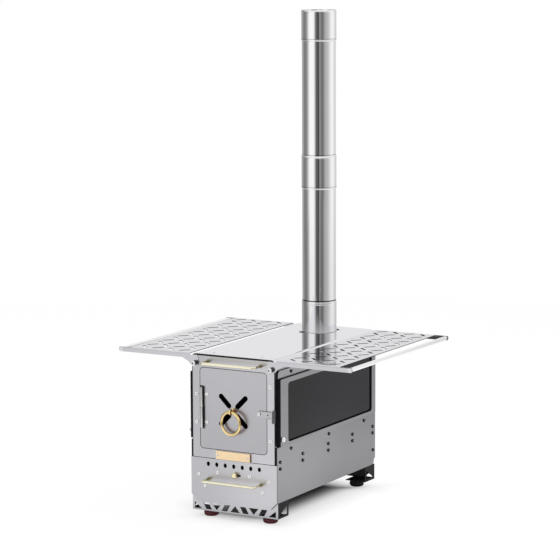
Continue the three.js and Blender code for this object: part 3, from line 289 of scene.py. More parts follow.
floor_mesh = bpy.data.meshes.new("studio_floor")
rim = [(FLOOR_RADIUS * math.cos(a), FLOOR_RADIUS * math.sin(a), 0) for a in turns(FLOOR_SIDES)]
floor_mesh.from_pydata(rim, [], [list(range(FLOOR_SIDES))])
floor = put("studio_floor", floor_mesh)
floor_material, paper, paper_shader = new_material("white_paper", roughness=0.9,
                                                   specular_ior_level=0.1)
across, along = paper.axis("X"), paper.axis("Y")
shade_left = paper.ramp(along, -0.21, -0.13, 0.0, LEFT_SPREAD)
shade_right = paper.ramp(along, 0.15, 0.21, 0.0, REAR_SPREAD)
from_side = (across - HALF_WIDTH - shade_right).more_of(across * -1.0 - HALF_WIDTH - shade_left)
beside = from_side.more_of(abs(along - MIDDLE_Y) - HALF_LENGTH)  # below 0 under the box
# Painted shade: the paper is darker under the box.
paper.feed(paper_shader.inputs["Base Color"],
           paper.grey(paper.ramp(beside, -0.09, -0.02, PAINTED_UNDER_SHADE, PAPER_TONE)))
lit = Value(paper, paper_shader.outputs[0])
glow = paper.add("ShaderNodeEmission", None, {"Color": grey(1.0), "Strength": 1.0})
# Painted light: the share of plain white grows in two steps past the edge of the box, and on
# its right side.
painted_daylight = (paper.ramp(beside, -0.078, -0.021, 0.0, 0.55)
            + paper.ramp(beside, -0.04, 0.07, 0.0, 0.38)
            + paper.ramp(across, 0.01, 0.05, 0.0, 0.11))
plain_look = paper.add("ShaderNodeMixShader", None, {0: painted_daylight, 1: lit, 2: glow})
# Painted reflection: for metal the floor glows white close by and with the screens far off.
far = paper.ramp(beside, 0.30, 1.0)
mirrored = (1 - far) + far * screens_at(paper, across, along)
# Painted shade in reflections, where the stove stands on the floor.
mirrored = mirrored * paper.ramp(beside, -0.02, 0.10, 0.03, 1.0)
in_metal = paper.add("ShaderNodeEmission", None,
                     {"Color": paper.grey(mirrored), "Strength": 1.0})
glossy_ray = paper.add("ShaderNodeLightPath", out="Is Glossy Ray")
whole = paper.add("ShaderNodeMixShader", None, {0: glossy_ray, 1: plain_look, 2: in_metal})
paper.feed(floor_material.node_tree.nodes["Material Output"].inputs["Surface"], whole)
floor_mesh.materials.append(floor_material)
print("floor radius", FLOOR_RADIUS)

# %% [markdown]
# Two large soft boxes give the floor its shadow and the matte pieces their shape. They are hidden
# from reflections, because the screens already say what the metal sees.

# %% Lamps
LAMPS = (("key_light", (-2.1, -1.6, 2.9), 2.0, 26), ("top_light", (0.3, 0.6, 3.4), 2.4, 20))
for name, spot, size, power in LAMPS:
    lamp = bpy.data.lights.new(name, "AREA")
    lamp.shape, lamp.size, lamp.energy = "DISK", size, power
    light = put(name, lamp)
    gaze = Vector((0, 0, 0.3)) - Vector(spot)
    light.matrix_world = (Matrix.Translation(spot)
                          @ gaze.to_track_quat("-Z", "Y").to_matrix().to_4x4())
    light.visible_glossy = False
print(len(LAMPS), "lamps")

# %% [markdown]
# ## Sheet steel
# The box, the door and the drawer are thin satin sheet, and a laser has cut them. Their cut edges
# are painted near black, partly for the dark cut and partly for the shade in the gaps beside them,
# and the same mask paints shade on other faces too. Extra plates could model the rim, but a mask
# does it better: on a flat plate the rim is where the surface doesn't look along the thickness.
# Rolling leaves hair-fine streaks, and from afar the sheet is cloudy. Both are noise, one
# stretched and very fine, one large and soft.

# %% Sheet steel
# The tone and roughness of the cut edges and of painted shade.
RIM_AND_SHADE_TONE, RIM_ROUGHNESS = 0.008, 0.75
GREEN, BLUE = 0.986, 1.035  # satin steel is a little cold
ACROSS_FRONT, ALONG_SIDE, NO_GRAIN = (0.03, 1, 1), (1, 0.03, 1), (1, 1, 1)


def satin(name, tone, roughness, stretch, rims_and_shade=None, change=None):
    """Satin sheet; the rim mask paints the cut edges and other shade near black, change adjusts
    tone and roughness.
    """
    material, metal, shader = new_material(name, metallic=1.0)
    streaks = metal.noise(stretch, 900.0, 2.0)
    clouds = metal.noise((1, 1, 1), 7.0, 4.0)
    shade = (streaks - 0.5) * 0.05 + (clouds - 0.5) * 0.07 + tone
    smooth = (clouds - 0.5) * 0.10 + roughness
    if change:
        shade, smooth = change(metal, shade, smooth)
    if rims_and_shade:
        rim_shade_mask = rims_and_shade(metal)
        shade = shade * (1 - rim_shade_mask) + rim_shade_mask * RIM_AND_SHADE_TONE
        smooth = smooth * (1 - rim_shade_mask) + rim_shade_mask * RIM_ROUGHNESS
        metal.feed(shader.inputs["Metallic"], 1 - rim_shade_mask * 0.9)
    metal.feed(shader.inputs["Base Color"], metal.grey(shade, BLUE, GREEN))
    metal.feed(shader.inputs["Roughness"], smooth)
    metal.feed(shader.inputs["Normal"], metal.bump(streaks, 0.04, 0.0003))
    return material


def rims_of(axis):
    """The mask of the cut edges of a plate whose thickness runs along the axis."""
    return lambda metal: abs(metal.facing(axis)) < 0.5


rims_across, rims_along = rims_of("Y"), rims_of("X")
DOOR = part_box("door_panel")
DOOR_CORNER = 0.0085  # the radius of the door's corners
# The painted shade line round the door.
GAP_AT, GAP_HALF = 0.0004, 0.0007  # the dark line round the door, from its outline
# Above this height the front is painted dark, as the shade under the edge of the shell.
SHELL_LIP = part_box("front_panel")[1].z - 0.0024


def beyond_door(metal):
    """How far a spot on the front lies outside the door's rounded outline."""
    reach = []
    for name in "XZ":
        low, high = (getattr(corner, name.lower()) for corner in DOOR)
        off = abs(metal.axis(name) - (low + high) / 2) - ((high - low) / 2 - DOOR_CORNER)
        reach.append(off.more_of(0.0))
    return metal.math("SQRT", reach[0] * reach[0] + reach[1] * reach[1]) - DOOR_CORNER


def front_gap_shade(metal):
    """Painted shade: the line round the door and the line under the bent shell."""
    gap = abs(beyond_door(metal) - GAP_AT) < GAP_HALF
    return rims_across(metal).more_of(gap).more_of(metal.axis("Z") > SHELL_LIP)


def lit_front(metal, shade, smooth):
    """The frame and the drawer catch more light than the door, and most at the right."""
    on_door = beyond_door(metal) < 0.0002
    door = metal.ramp(metal.axis("Z"), 0.16, 0.36, 0.96, 1.09)
    frame = metal.ramp(metal.axis("X"), -0.09, 0.09, 1.08, 1.27)
    return shade * (door * on_door + frame * (1 - on_door)), smooth


satin_front = satin("satin_front", 0.48, 0.32, ACROSS_FRONT, front_gap_shade, lit_front)
satin_back = satin("satin_back", 0.47, 0.32, ACROSS_FRONT, rims_across)
satin_hardware = satin("satin_hardware", 0.51, 0.30, NO_GRAIN,
                       lambda metal: rims_across(metal) * 0.8)
print("satin fronts ready")

# %% [markdown]
# The side plates, strips and bezels get less light than the front, so their tones are painted
# lower, and the plates' tone falls off the further back and towards the ground: all of it painted
# shade.

# %% Side plates


# Painted shade: darker towards the ground and towards the back.
def side_painted_shade(metal, shade, smooth):
    foot = metal.ramp(metal.axis("Z"), 0.05, 0.12, 0.92, 1.0)
    return shade * foot * metal.ramp(metal.axis("Y"), -0.2, 0.22, 1.02, 0.83), smooth


satin_side = satin("satin_side", 0.32, 0.26, ALONG_SIDE, rims_along, side_painted_shade)
satin_strip = satin("satin_strip", 0.365, 0.26, ALONG_SIDE, rims_along)
satin_bezel = satin("satin_bezel", 0.30, 0.26, ALONG_SIDE, rims_along)
satin_inside = satin("satin_inside", 0.30, 0.38, ALONG_SIDE)
print("side plates ready")

# %% [markdown]
# The shell is one sheet bent over the top. Its top is the hob, rubbed bright so that the pipe
# stands mirrored in it, and its cut front and back edges are painted near black as a line round
# the end plates, for the dark cut and the shade of the joint.

# %% Shell
HOB_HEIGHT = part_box("body_shell")[1].z
HOB_BEND = 0.0055  # the height of the bend on which the bright rubbing ends
HOB_TONE, HOB_ROUGHNESS = 0.87, 0.055


def rubbed_hob(metal, shade, smooth):
    bright = metal.axis("Z") > HOB_HEIGHT - HOB_BEND
    return (shade * (1 - bright) + bright * HOB_TONE,
            smooth * (1 - bright) + bright * HOB_ROUGHNESS)


# Painted near black: the front and back edges of the shell.
satin_shell = satin("satin_shell", 0.44, 0.26, ALONG_SIDE,
                    lambda metal: abs(metal.facing("Y")) > 0.7, rubbed_hob)
print("hob at", round(HOB_HEIGHT, 4))

# %% [markdown]
# ## Polished steel
# The shelves and the chimney are mirror-bright. On the shelves the walls of the slots and the cut
# edges of the end tabs are painted near black, for the dark cut steel and the shade inside the
# slots, which is why the lattice reads at all. Their upright flanges are painted darker as shade.

# %% Shelf steel
SHELF_FRONT, SHELF_REAR = (corner.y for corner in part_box("shelf_right"))
SHELF_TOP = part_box("shelf_right")[1].z
SHELF_MIDDLE = (SHELF_FRONT + SHELF_REAR) / 2
SHEET = 0.0015
SHEET_DEEP = SHEET + 0.0002  # the sheet and a little more, to be sure of its far side


# Painted near black: the walls of the slots and the edges of the end tabs.
def shelf_rims_and_shade(metal):
    slot_walls = (metal.axis("Z") > SHELF_TOP - SHEET_DEEP) * (abs(metal.facing("Z")) < 0.4)
    in_tab = abs(metal.axis("Y") - SHELF_MIDDLE) > SHELF_REAR - SHELF_MIDDLE - SHEET_DEEP
    tab_rims = in_tab * (abs(metal.facing("Y")) < 0.5) * (metal.axis("Z") < SHELF_TOP - 0.005)
    return slot_walls.more_of(tab_rims)


# Painted shade: the upright flanges are darker than the top.
def flange_painted_shade(metal, shade, smooth):
    upright = abs(metal.facing("Y")) > 0.7
    return shade - upright * 0.17, smooth + upright * 0.12


mirror_shelf = satin("mirror_shelf", 0.76, 0.07, (1, 0.04, 1), shelf_rims_and_shade, flange_painted_shade)
print("shelf top at", round(SHELF_TOP, 4))

# %% Pipe steel
def polished_steel(name, tone, roughness, stretch, scale, change=None):
    """Bright turned steel, with fine lines along the stretched axis."""
    material, metal, shader = new_material(name, metallic=1.0)
    lines = metal.noise(stretch, scale, 2.0)
    clouds = metal.noise((1, 1, 1), 14.0, 3.0)
    shade = (lines - 0.5) * 0.04 + (clouds - 0.5) * 0.05 + tone
    if change:
        shade = change(metal, shade)
    metal.feed(shader.inputs["Base Color"], metal.grey(shade, 1.01))
    metal.feed(shader.inputs["Roughness"], (lines - 0.5) * 0.04 + roughness)
    metal.feed(shader.inputs["Normal"], metal.bump(lines, 0.02, 0.0002))
    return material


SLEEVE, LOWER, UPPER = map(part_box, ("flue_base_sleeve", "chimney_section_lower",
                                    "chimney_section_upper"))
SOCKETS = {"lower": 0.075, "upper": 0.069}  # length of the wide end of each section
SLEEVE_TOP = SLEEVE[1].z + 0.006  # as high as the photograph shows it
# The height, half width and depth of the painted shade line at each joint.
JOINT_SHADE_LINES = ((SLEEVE_TOP + 0.0008, 0.0013, 0.95), (LOWER[1].z + 0.0026, 0.0008, 0.55),
               (LOWER[1].z - SOCKETS["lower"] + 0.0020, 0.0008, 0.45),
               (UPPER[1].z - SOCKETS["upper"] + 0.0022, 0.0008, 0.5))


def joint_shade_lines(metal, shade):
    """Paints a thin line of shade at each joint of the chimney; the lower end is darker too."""
    for level, half, depth in JOINT_SHADE_LINES:
        off = abs(metal.axis("Z") - level)
        shade = shade * metal.ramp(off, half * 0.6, half * 1.4, 1 - depth, 1.0)
    return shade * metal.ramp(metal.axis("Z"), 0.40, 0.80, 0.88, 1.0)


# Painted shade: the walls of a bolt head are nearly black.
def painted_shade_walls(metal, shade):
    wall = rims_across(metal)
    return shade * (1 - wall) + wall * 0.05


mirror_pipe = polished_steel("mirror_pipe", 0.93, 0.05, (1, 1, 0.02), 500.0, joint_shade_lines)
mirror_rail = polished_steel("mirror_rail", 0.96, 0.22, (1, 0.02, 1), 500.0)
bright_bolt = polished_steel("bright_bolt", 0.88, 0.20, NO_GRAIN, 700.0, painted_shade_walls)
bright_button = polished_steel("bright_button", 0.92, 0.25, NO_GRAIN, 700.0)
screw_steel = polished_steel("screw_steel", 0.90, 0.25, NO_GRAIN, 900.0)
print("polished finishes ready")

# %% [markdown]
# The leg frames are folded sheet. Only their outer faces catch the light; the cheeks and the
# inside look at the shaded floor under the stove and are close to black.

# %% Leg steel


# Painted shade: every face of the legs but the outward one is nearly black.
def leg_painted_shade(metal):
    outward = metal.facing("Y") * metal.axis("Y") > 0
    return 1 - outward * (abs(metal.facing("Y")) > 0.5)


leg_steel = satin("leg_steel", 0.56, 0.24, ACROSS_FRONT, leg_painted_shade)
print("leg steel ready")

# %% [markdown]
# The other finishes differ in colour, gloss and grain only, so one function makes them all. Some
# get painted shade where a mask says so: the rear feet are painted black and the front ones stay
# dark red, and brass is painted brown where it faces the steel behind it.

# %% Dark and coloured finishes


def plain_finish(name, colour, roughness, metallic, grain, grain_depth, speckle=0.1, shade_patch=None,
                 **fixed):
    """A finish with a colour speckle and a fine grain; the optional shade is a mask and the colour
    of painted shade there.
    """
    material, coat, shader = new_material(name, metallic=metallic, **fixed)
    grains = coat.noise((1, 1, 1), grain, 4.0, 0.6)
    light = tuple(min(1, c * (1 + speckle)) for c in colour) + (1,)
    dark = tuple(c * (1 - speckle) for c in colour) + (1,)
    tint = coat.mix((grains - 0.3) / 0.4, dark, light)
    if shade_patch:
        mask, shade_colour = shade_patch
        tint = coat.mix(mask(coat), tint, shade_colour + (1,))
    coat.feed(shader.inputs["Base Color"], tint)
    coat.feed(shader.inputs["Roughness"], (grains - 0.5) * 0.2 + roughness)
    coat.feed(shader.inputs["Normal"], coat.bump(grains, 0.3, grain_depth))
    return material


black_gasket = plain_finish("black_gasket", (0.010, 0.009, 0.011), 0.8, 0, 700.0, 0.0006, 0.4,
                            specular_ior_level=0.08)
glass_rope = plain_finish("glass_rope", (0.28, 0.27, 0.25), 0.95, 0, 500.0, 0.0012, 0.3)
rough_iron = plain_finish("rough_iron", (0.045, 0.045, 0.047), 0.6, 0.6, 420.0, 0.0010, 0.3)
# Painted shade: the rear feet are nearly black.
foot_rubber = plain_finish("foot_rubber", (0.095, 0.010, 0.016), 0.45, 0, 500.0, 0.0005, 0.25,
                           (lambda coat: coat.axis("Y") > 0.0, (0.010, 0.007, 0.009)))
# Painted shade: each brass is brown where it faces the steel behind it.
pale_brass = plain_finish("pale_brass", (0.93, 0.89, 0.66), 0.16, 1.0, 260.0, 0.00005, 0.04,
                          (lambda coat: coat.axis("Y") > DOOR[0].y - 0.013, (0.42, 0.38, 0.22)))
knob_brass = plain_finish("knob_brass", (0.93, 0.84, 0.55), 0.18, 1.0, 260.0, 0.00005, 0.04,
                          (rims_across, (0.40, 0.30, 0.15)))
gold_brass = plain_finish("gold_brass", (0.90, 0.70, 0.34), 0.12, 1.0, 260.0, 0.00005, 0.06,
                          (lambda coat: coat.facing("Y") > -0.42, (0.42, 0.22, 0.09)))
# Dark steel for the vent parts, also used as painted shade on the sheet behind the rear truss.
dark_steel_and_shade = plain_finish("dark_steel_and_shade", (0.060, 0.060, 0.064), 0.55, 0.5, 180.0, 0.0002, 0.2)
# Painted shade: the sockets of the screws, and the heads of the side screws.
painted_shade_screw = plain_finish("painted_shade_screw", (0.010, 0.010, 0.010), 0.6, 0.5, 300.0, 0.0002, 0.2)
print("coloured finishes ready")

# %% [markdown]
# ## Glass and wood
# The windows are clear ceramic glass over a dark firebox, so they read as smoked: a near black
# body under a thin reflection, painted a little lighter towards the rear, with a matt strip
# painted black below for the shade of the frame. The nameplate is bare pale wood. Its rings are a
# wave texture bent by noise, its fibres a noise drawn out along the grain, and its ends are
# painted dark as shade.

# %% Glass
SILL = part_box("window_bezel_right")[0].z + 0.0105
window_glass, pane, pane_shader = new_material("window_glass", specular_ior_level=0.13)
haze = pane.noise((1, 0.4, 1), 6.0, 3.0)
# Random haze, and painted light that makes the glass a little lighter towards the rear.
haze_and_painted_light = (haze - 0.5) * 0.008 + pane.ramp(pane.axis("Y"), -0.22, 0.10, 0.004, 0.014)
# Painted shade: the glass is black and matt below the sill line.
sill = pane.axis("Z") < SILL
pane.feed(pane_shader.inputs["Base Color"], pane.grey(haze_and_painted_light * (1 - sill), 1.35))
pane.feed(pane_shader.inputs["Roughness"], (haze - 0.5) * 0.04 + 0.06 + sill * 0.8)
print("glass with a sill up to", round(SILL, 4))

# %% Wood
bare_wood, plank, plank_shader = new_material("bare_wood")
bent = plank.noise((0.5, 1, 3), 22.0, 3.0)
rings = plank.add("ShaderNodeTexWave", {"wave_type": "BANDS", "bands_direction": "Z"},
                  {"Vector": plank.place(), "Scale": 42.0, "Distortion": 5.0, "Detail": 2.0,
                   "Detail Scale": 1.4}, out="Fac")
fibres = plank.noise((0.04, 1, 1), 1400.0, 2.0)
wood_tone = plank.mix(rings * 0.5 + (bent - 0.5) * 0.4, (0.98, 0.77, 0.50, 1),
                      (0.91, 0.66, 0.39, 1))
wood_tone = plank.mix((fibres - 0.5) * 0.8 + 0.10, wood_tone, (0.60, 0.34, 0.14, 1))
# Painted shade: the ends of the plate are dark.
wood_tone = plank.mix(abs(plank.facing("X")) > 0.5, wood_tone, (0.22, 0.11, 0.04, 1))
plank.feed(plank_shader.inputs["Base Color"], wood_tone)
plank.feed(plank_shader.inputs["Roughness"], (fibres - 0.5) * 0.3 + 0.5)
plank.feed(plank_shader.inputs["Normal"], plank.bump(fibres, 0.25, 0.0004))
print("wood ready")

# %% [markdown]
# ## Making round pieces
# A CAD tube has flat facets, and a mirror shows them all. So each round piece is made anew:
# `turned` turns the outline of its section once round an axis, `rod` draws a round bar along a
# path, and `rounded` eases the corners of an outline, because an eased corner catches the light.

# %% Mesh helpers
MM = 0.001
MERGE = 1e-6  # points closer than this are one
SIDES = (("left", -1), ("right", 1))


def mm(*outline):
    """An outline written in millimetres, in metres."""
    return [tuple(number * MM for number in corner) for corner in outline]


def middle(node):
    """The centre of a CAD node's box."""
    return [(low + high) / 2 for low, high in zip(*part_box(node))]


def rounded(outline, radius, closed=False, steps=4):
    """The outline with its corners eased over the given radius."""
    corners = [Vector(corner) for corner in outline]
    soft = []
    for i, corner in enumerate(corners):
        if not closed and i in (0, len(corners) - 1):
            soft.append(corner)
            continue
        before, after = corners[i - 1], corners[(i + 1) % len(corners)]
        start = corner + (before - corner) * min(0.45, radius / (before - corner).length)
        end = corner + (after - corner) * min(0.45, radius / (after - corner).length)
        for k in range(steps + 1):
            t = k / steps
            soft.append(start.lerp(corner, t).lerp(corner.lerp(end, t), t))
    return soft


def skin(bm, low, high):
    """Faces between two rings of points; a ring of one point is a pole."""
    for k in range(max(len(low), len(high))):
        corners = [low[k % len(low)], low[(k + 1) % len(low)],
                   high[(k + 1) % len(high)], high[k % len(high)]]
        bm.faces.new(list(dict.fromkeys(corners)))


def turned(bm, outline, axis, centre, hollow=False, sides=96):
    """Turns an outline of (distance from the axis, place along it) once round the axis."""
    rows = []
    for reach, along in outline:
        rows.append([])
        for a in turns(sides if reach > MERGE else 1):
            spot = [reach * math.cos(a), reach * math.sin(a)]
            spot.insert("XYZ".index(axis), along)
            rows[-1].append(bm.verts.new(Vector(centre) + Vector(spot)))
    for low, high in zip(rows, rows[1:] + (rows[:1] if hollow else [])):
        skin(bm, low, high)


def rod(bm, path, radius, sides=24):
    """A round bar along a level path, closed at both ends."""
    up = Vector((0, 0, 1))
    rows = []
    for i, spot in enumerate(path):
        along = path[min(i + 1, len(path) - 1)] - path[max(i - 1, 0)]
        across = up.cross(along).normalized()
        rows.append([bm.verts.new(spot + radius * (math.cos(a) * across + math.sin(a) * up))
                     for a in turns(sides)])
    for low, high in zip(rows, rows[1:]):
        skin(bm, low, high)
    bm.faces.new(rows[0])
    bm.faces.new(rows[-1])


def slab(bm, low, high, ease=0.0):
    """A block from corner to corner with eased edges."""
    low, high = Vector(low), Vector(high)
    stretch = Matrix.Diagonal(high - low).to_4x4()
    made = bmesh.ops.create_cube(bm, size=1, matrix=Matrix.Translation((low + high) / 2) @ stretch)
    if ease:
        edges = list({edge for vert in made["verts"] for edge in vert.link_edges})
        bmesh.ops.bevel(bm, geom=edges, offset=ease, segments=3, profile=0.5, affect="EDGES")


def piece(name, bm, finish, body, slot, *stands_for, crease=40):
    """Makes the mesh a piece that moves with a body and replaces CAD nodes."""
    bmesh.ops.remove_doubles(bm, verts=bm.verts, dist=MERGE)
    bmesh.ops.recalc_face_normals(bm, faces=bm.faces)
    mesh = bpy.data.meshes.new(name)
    bm.to_mesh(mesh)
    bm.free()
    for material in (finish if isinstance(finish, tuple) else (finish,)):
        mesh.materials.append(material)
    for polygon in mesh.polygons:
        polygon.use_smooth = True
    mesh.set_sharp_from_angle(angle=math.radians(crease))
    made = put(name, mesh)
    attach(made, body)
    if stands_for:
        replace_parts(made, *stands_for)
    return made


def turned_piece(name, node, outline, axis, centre, finish, body="stove_body",
                 slot="polished_steel", sides=96, hollow=False, **more):
    """A piece that is one outline turned round an axis, in place of a CAD node."""
    bm = bmesh.new()
    turned(bm, outline, axis, centre, hollow, sides)
    return piece(name, bm, finish, body, slot, node, **more)


print("round helpers ready")

# %% [markdown]
# ## Chimney
# Each section is a thin pipe with a wider socket at its top, which carries the next one. A bead
# runs round the socket where it starts and ends. The outline is a closed loop, so the pipe is
# hollow and can be looked into from above.

# %% Chimney
FLUE_Y = middle("chimney_section_upper")[1]
PIPE_R, PIPE_WALL, SOCKET_R, BEAD_R = 40 * MM, 1 * MM, 41.3 * MM, 41.9 * MM


def pipe_outline(foot, shoulder, top):
    inner = SOCKET_R - PIPE_WALL
    return rounded([
        (PIPE_R - PIPE_WALL, foot), (PIPE_R, foot), (PIPE_R, shoulder - 2.6 * MM),
        (BEAD_R, shoulder - 1.2 * MM), (SOCKET_R, shoulder + 1.2 * MM),
        (SOCKET_R, top - 5.4 * MM), (BEAD_R, top - 3.8 * MM), (SOCKET_R, top - 2.0 * MM),
        (SOCKET_R - 0.5 * MM, top), (inner, top), (inner, shoulder + 4 * MM),
        (PIPE_R - PIPE_WALL, shoulder + 2 * MM)], 0.8 * MM, closed=True)


for name, (low, high) in (("lower", LOWER), ("upper", UPPER)):
    turned_piece(f"{name}_pipe", f"chimney_section_{name}",
                 pipe_outline(low.z, high.z - SOCKETS[name], high.z), "Z", (0, FLUE_Y, 0),
                 mirror_pipe, hollow=True)
print("chimney from", round(LOWER[0].z, 3), "to", round(UPPER[1].z, 3))

# %% [markdown]
# The lowest length of pipe is the base sleeve, which passes through the hob. Two flat ears lock it
# there, askew to the box, as their ends beside the pipe show.

# %% Base sleeve
SPIGOT_OUT, SPIGOT_IN, SLEEVE_IN = 38.5 * MM, 37.5 * MM, SOCKET_R - 1.2 * MM
EAR_TURN = math.radians(50)
seat = HOB_HEIGHT + 0.3 * MM
outline = rounded([
    (SPIGOT_IN, SLEEVE[0].z), (SPIGOT_OUT, SLEEVE[0].z), (SPIGOT_OUT, seat), (SOCKET_R, seat),
    (SOCKET_R, SLEEVE_TOP - 8.5 * MM), (SOCKET_R + 0.4 * MM, SLEEVE_TOP - 6.5 * MM),
    (SOCKET_R - 1.0 * MM, SLEEVE_TOP - 1.0 * MM), (SOCKET_R - 1.1 * MM, SLEEVE_TOP),
    (SLEEVE_IN, SLEEVE_TOP - 1 * MM), (SLEEVE_IN, seat + 5 * MM), (SPIGOT_IN, seat + 2 * MM)],
    0.6 * MM, closed=True)
turned_piece("base_pipe", "flue_base_sleeve", outline, "Z", (0, FLUE_Y, 0), mirror_pipe,
             hollow=True)
bm = bmesh.new()
for side in (-1, 1):
    ends = sorted((side * (SOCKET_R + 0.2 * MM), side * SLEEVE[1].x))
    slab(bm, (ends[0], FLUE_Y - 5 * MM, seat), (ends[1], FLUE_Y + 5 * MM, seat + SHEET), 0.3 * MM)
bmesh.ops.rotate(bm, verts=bm.verts, cent=(0, FLUE_Y, 0),
                 matrix=Matrix.Rotation(EAR_TURN, 3, "Z"))
ear_steel = satin("ear_steel", 0.80, 0.20, NO_GRAIN, lambda metal: abs(metal.facing("Z")) < 0.5)
piece("base_ears", bm, ear_steel, "stove_body", "polished_steel")
print("sleeve rises", round((SLEEVE_TOP - HOB_HEIGHT) / MM, 1), "mm above the hob")

# %% [markdown]
# ## Handles
# Each handle is a brass rod bent twice, with a small collar where it meets the sheet. A swept
# circle follows the path, with enough points in each bend to look bent and not folded.

# %% Handles
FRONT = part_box("front_panel")[0].y
BEND, BEND_STEPS, ROD_R, ROD_IN_BOX = 7 * MM, 8, 3 * MM, 2.8 * MM


def bow_path(node):
    """The middle line of a handle that fills the node's box."""
    low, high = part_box(node)
    left, right_end = low.x + ROD_IN_BOX, high.x - ROD_IN_BOX
    out_to, height_of = low.y + ROD_IN_BOX, (low.z + high.z) / 2
    path = [Vector((left, FRONT - 0.3 * MM, height_of))]
    for k in range(BEND_STEPS + 1):
        a = math.pi / 2 * k / BEND_STEPS
        path.append(Vector((left + BEND * (1 - math.cos(a)), out_to + BEND * (1 - math.sin(a)),
                            height_of)))
    return path + [Vector((left + right_end - p.x, p.y, p.z)) for p in reversed(path)]


for name, node, body in (("top_bow", "top_handle", "stove_body"),
                         ("drawer_bow", "drawer_handle", "ash_drawer")):
    bm = bmesh.new()
    path = bow_path(node)
    rod(bm, path, ROD_R)
    for post in (path[0], path[-1]):
        turned(bm, rounded(mm((0, -1.8), (4.2, -1.8), (4.8, -0.3), (0, -0.3)), 0.4 * MM), "Y",
               (post.x, FRONT, post.z), sides=32)
    piece(name, bm, pale_brass, body, "pale_brass", node)
print("handles", round((path[-1].x - path[0].x) / MM), "mm from post to post")

# %% [markdown]
# ## Ring, eye and knob
# The vent is worked by a ring in an eye bolt. The ring is a torus, a circle turned round an axis
# outside it, and hangs a little askew, as a loose ring does. The eye is a short thick tube with a
# shank and a nut behind the door. The knob of the air slide is turned too.

# %% Ring, eye and knob
_, RING_Y, RING_Z = middle("pull_ring")
EYE = Vector((0, RING_Y, middle("ring_eye")[2]))
RING_WIRE, RING_ASKEW = 3.4 * MM, math.radians(-7)
RING_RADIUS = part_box("pull_ring")[1].x - RING_WIRE

bm = bmesh.new()
wire = [(RING_RADIUS + RING_WIRE * math.cos(a), RING_WIRE * math.sin(a)) for a in turns(24)]
turned(bm, wire, "Y", (0, RING_Y, RING_Z), hollow=True)
bmesh.ops.rotate(bm, verts=bm.verts, cent=EYE, matrix=Matrix.Rotation(RING_ASKEW, 3, "Z"))
piece("brass_ring", bm, gold_brass, "pull_ring", "gold_brass", "pull_ring")

bm = bmesh.new()
turned(bm, rounded(mm((4.1, -2.5), (6.7, -2.5), (6.7, 2.5), (4.1, 2.5)), 1.1 * MM, closed=True),
       "X", EYE, hollow=True, sides=48)
turned(bm, rounded(mm((0, 4.9), (3, 4.9), (3, 10.1), (6.5, 10.1), (6.5, 11.7), (3, 11.7),
                      (3, 18.6), (0, 18.6)), 0.4 * MM), "Y", EYE, sides=48)
turned(bm, mm((0, 15.6), (5.5, 15.6), (5.5, 18.6), (0, 18.6)), "Y", EYE, sides=6)
piece("brass_eye", bm, gold_brass, "air_vent", "gold_brass", "ring_eye", crease=30)

knob_x, _, knob_z = middle("air_slide_knob")
outline = rounded(mm((0, -9.5), (4.6, -9.3), (6.8, -7.4), (6.8, -5.1), (3.8, -3.2),
                     (3.8, -0.5), (2.2, -0.5), (2.2, 1.5), (0, 1.5)), 0.9 * MM)
turned_piece("slide_knob", "air_slide_knob", outline, "Y", (knob_x, FRONT, knob_z),
             knob_brass, "air_slide", "pale_brass", sides=48)
print("ring", round(2 * (RING_RADIUS + RING_WIRE) / MM), "mm across")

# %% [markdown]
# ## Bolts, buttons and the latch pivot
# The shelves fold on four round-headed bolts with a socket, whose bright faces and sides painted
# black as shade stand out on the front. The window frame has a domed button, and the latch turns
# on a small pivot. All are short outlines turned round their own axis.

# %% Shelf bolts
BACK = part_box("back_panel")[1].y
BOLT_OUTLINE = mm((0, -7.6), (2.8, -7.6), (2.8, -10.6), (4.7, -10.6), (6.0, -9.4), (6.0, -2.1),
                  (3.0, -2.1), (3.0, 1.8), (5.5, 1.8), (5.5, 5.8), (0, 5.8))
for name in ("left", "right"):
    for end, face, inward in (("front", FRONT, 1), ("rear", BACK, -1)):
        node = f"shelf_bolt_{end}_{name}"
        x, _, z = middle(node)
        outline = rounded([(reach, inward * deep) for reach, deep in BOLT_OUTLINE], 0.5 * MM)
        turned_piece(f"round_bolt_{end}_{name}", node, outline, "Y", (x, face, z), bright_bolt,
                     sides=48)
print("four shelf bolts")

# %% Window buttons
PROUD = 4.3 * MM  # how far the dome stands beyond the CAD node
for name, side in SIDES:
    node = f"window_button_{name}"
    inner, outer = sorted((corner.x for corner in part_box(node)), key=abs)
    outer += side * PROUD
    neck, shoulder, dimple = (inner + side * 1.6 * MM, outer - side * 3.0 * MM,
                              outer - side * 0.4 * MM)
    outline = rounded([(0, inner), (5 * MM, inner), (6.2 * MM, neck), (6.2 * MM, shoulder),
                       (4.0 * MM, outer), (1.0 * MM, outer), (1.0 * MM, dimple), (0, dimple)],
                      1.0 * MM)
    turned_piece(f"frame_button_{name}", node, outline, "X", (0, *middle(node)[1:]),
                 bright_button, sides=40)
print("two window buttons")

# %% Latch pivot
stud_x, _, stud_z = middle("latch_pivot")
outline = rounded(mm(
    (0, -4.5), (1.3, -4.5), (1.3, -5.5), (3.0, -5.5), (4.0, -4.8), (4.0, -3.7), (2.0, -3.7),
    (2.0, -1.6), (4.0, -1.6), (4.0, -0.3), (2.0, -0.3), (2.0, 1.8), (4.0, 1.8), (4.0, 3.8),
    (0, 3.8)), 0.3 * MM)
turned_piece("latch_stud", "latch_pivot", outline, "Y", (stud_x, FRONT, stud_z),
             bright_bolt, "door", sides=32)
print("latch stud at x", round(stud_x / MM, 1))

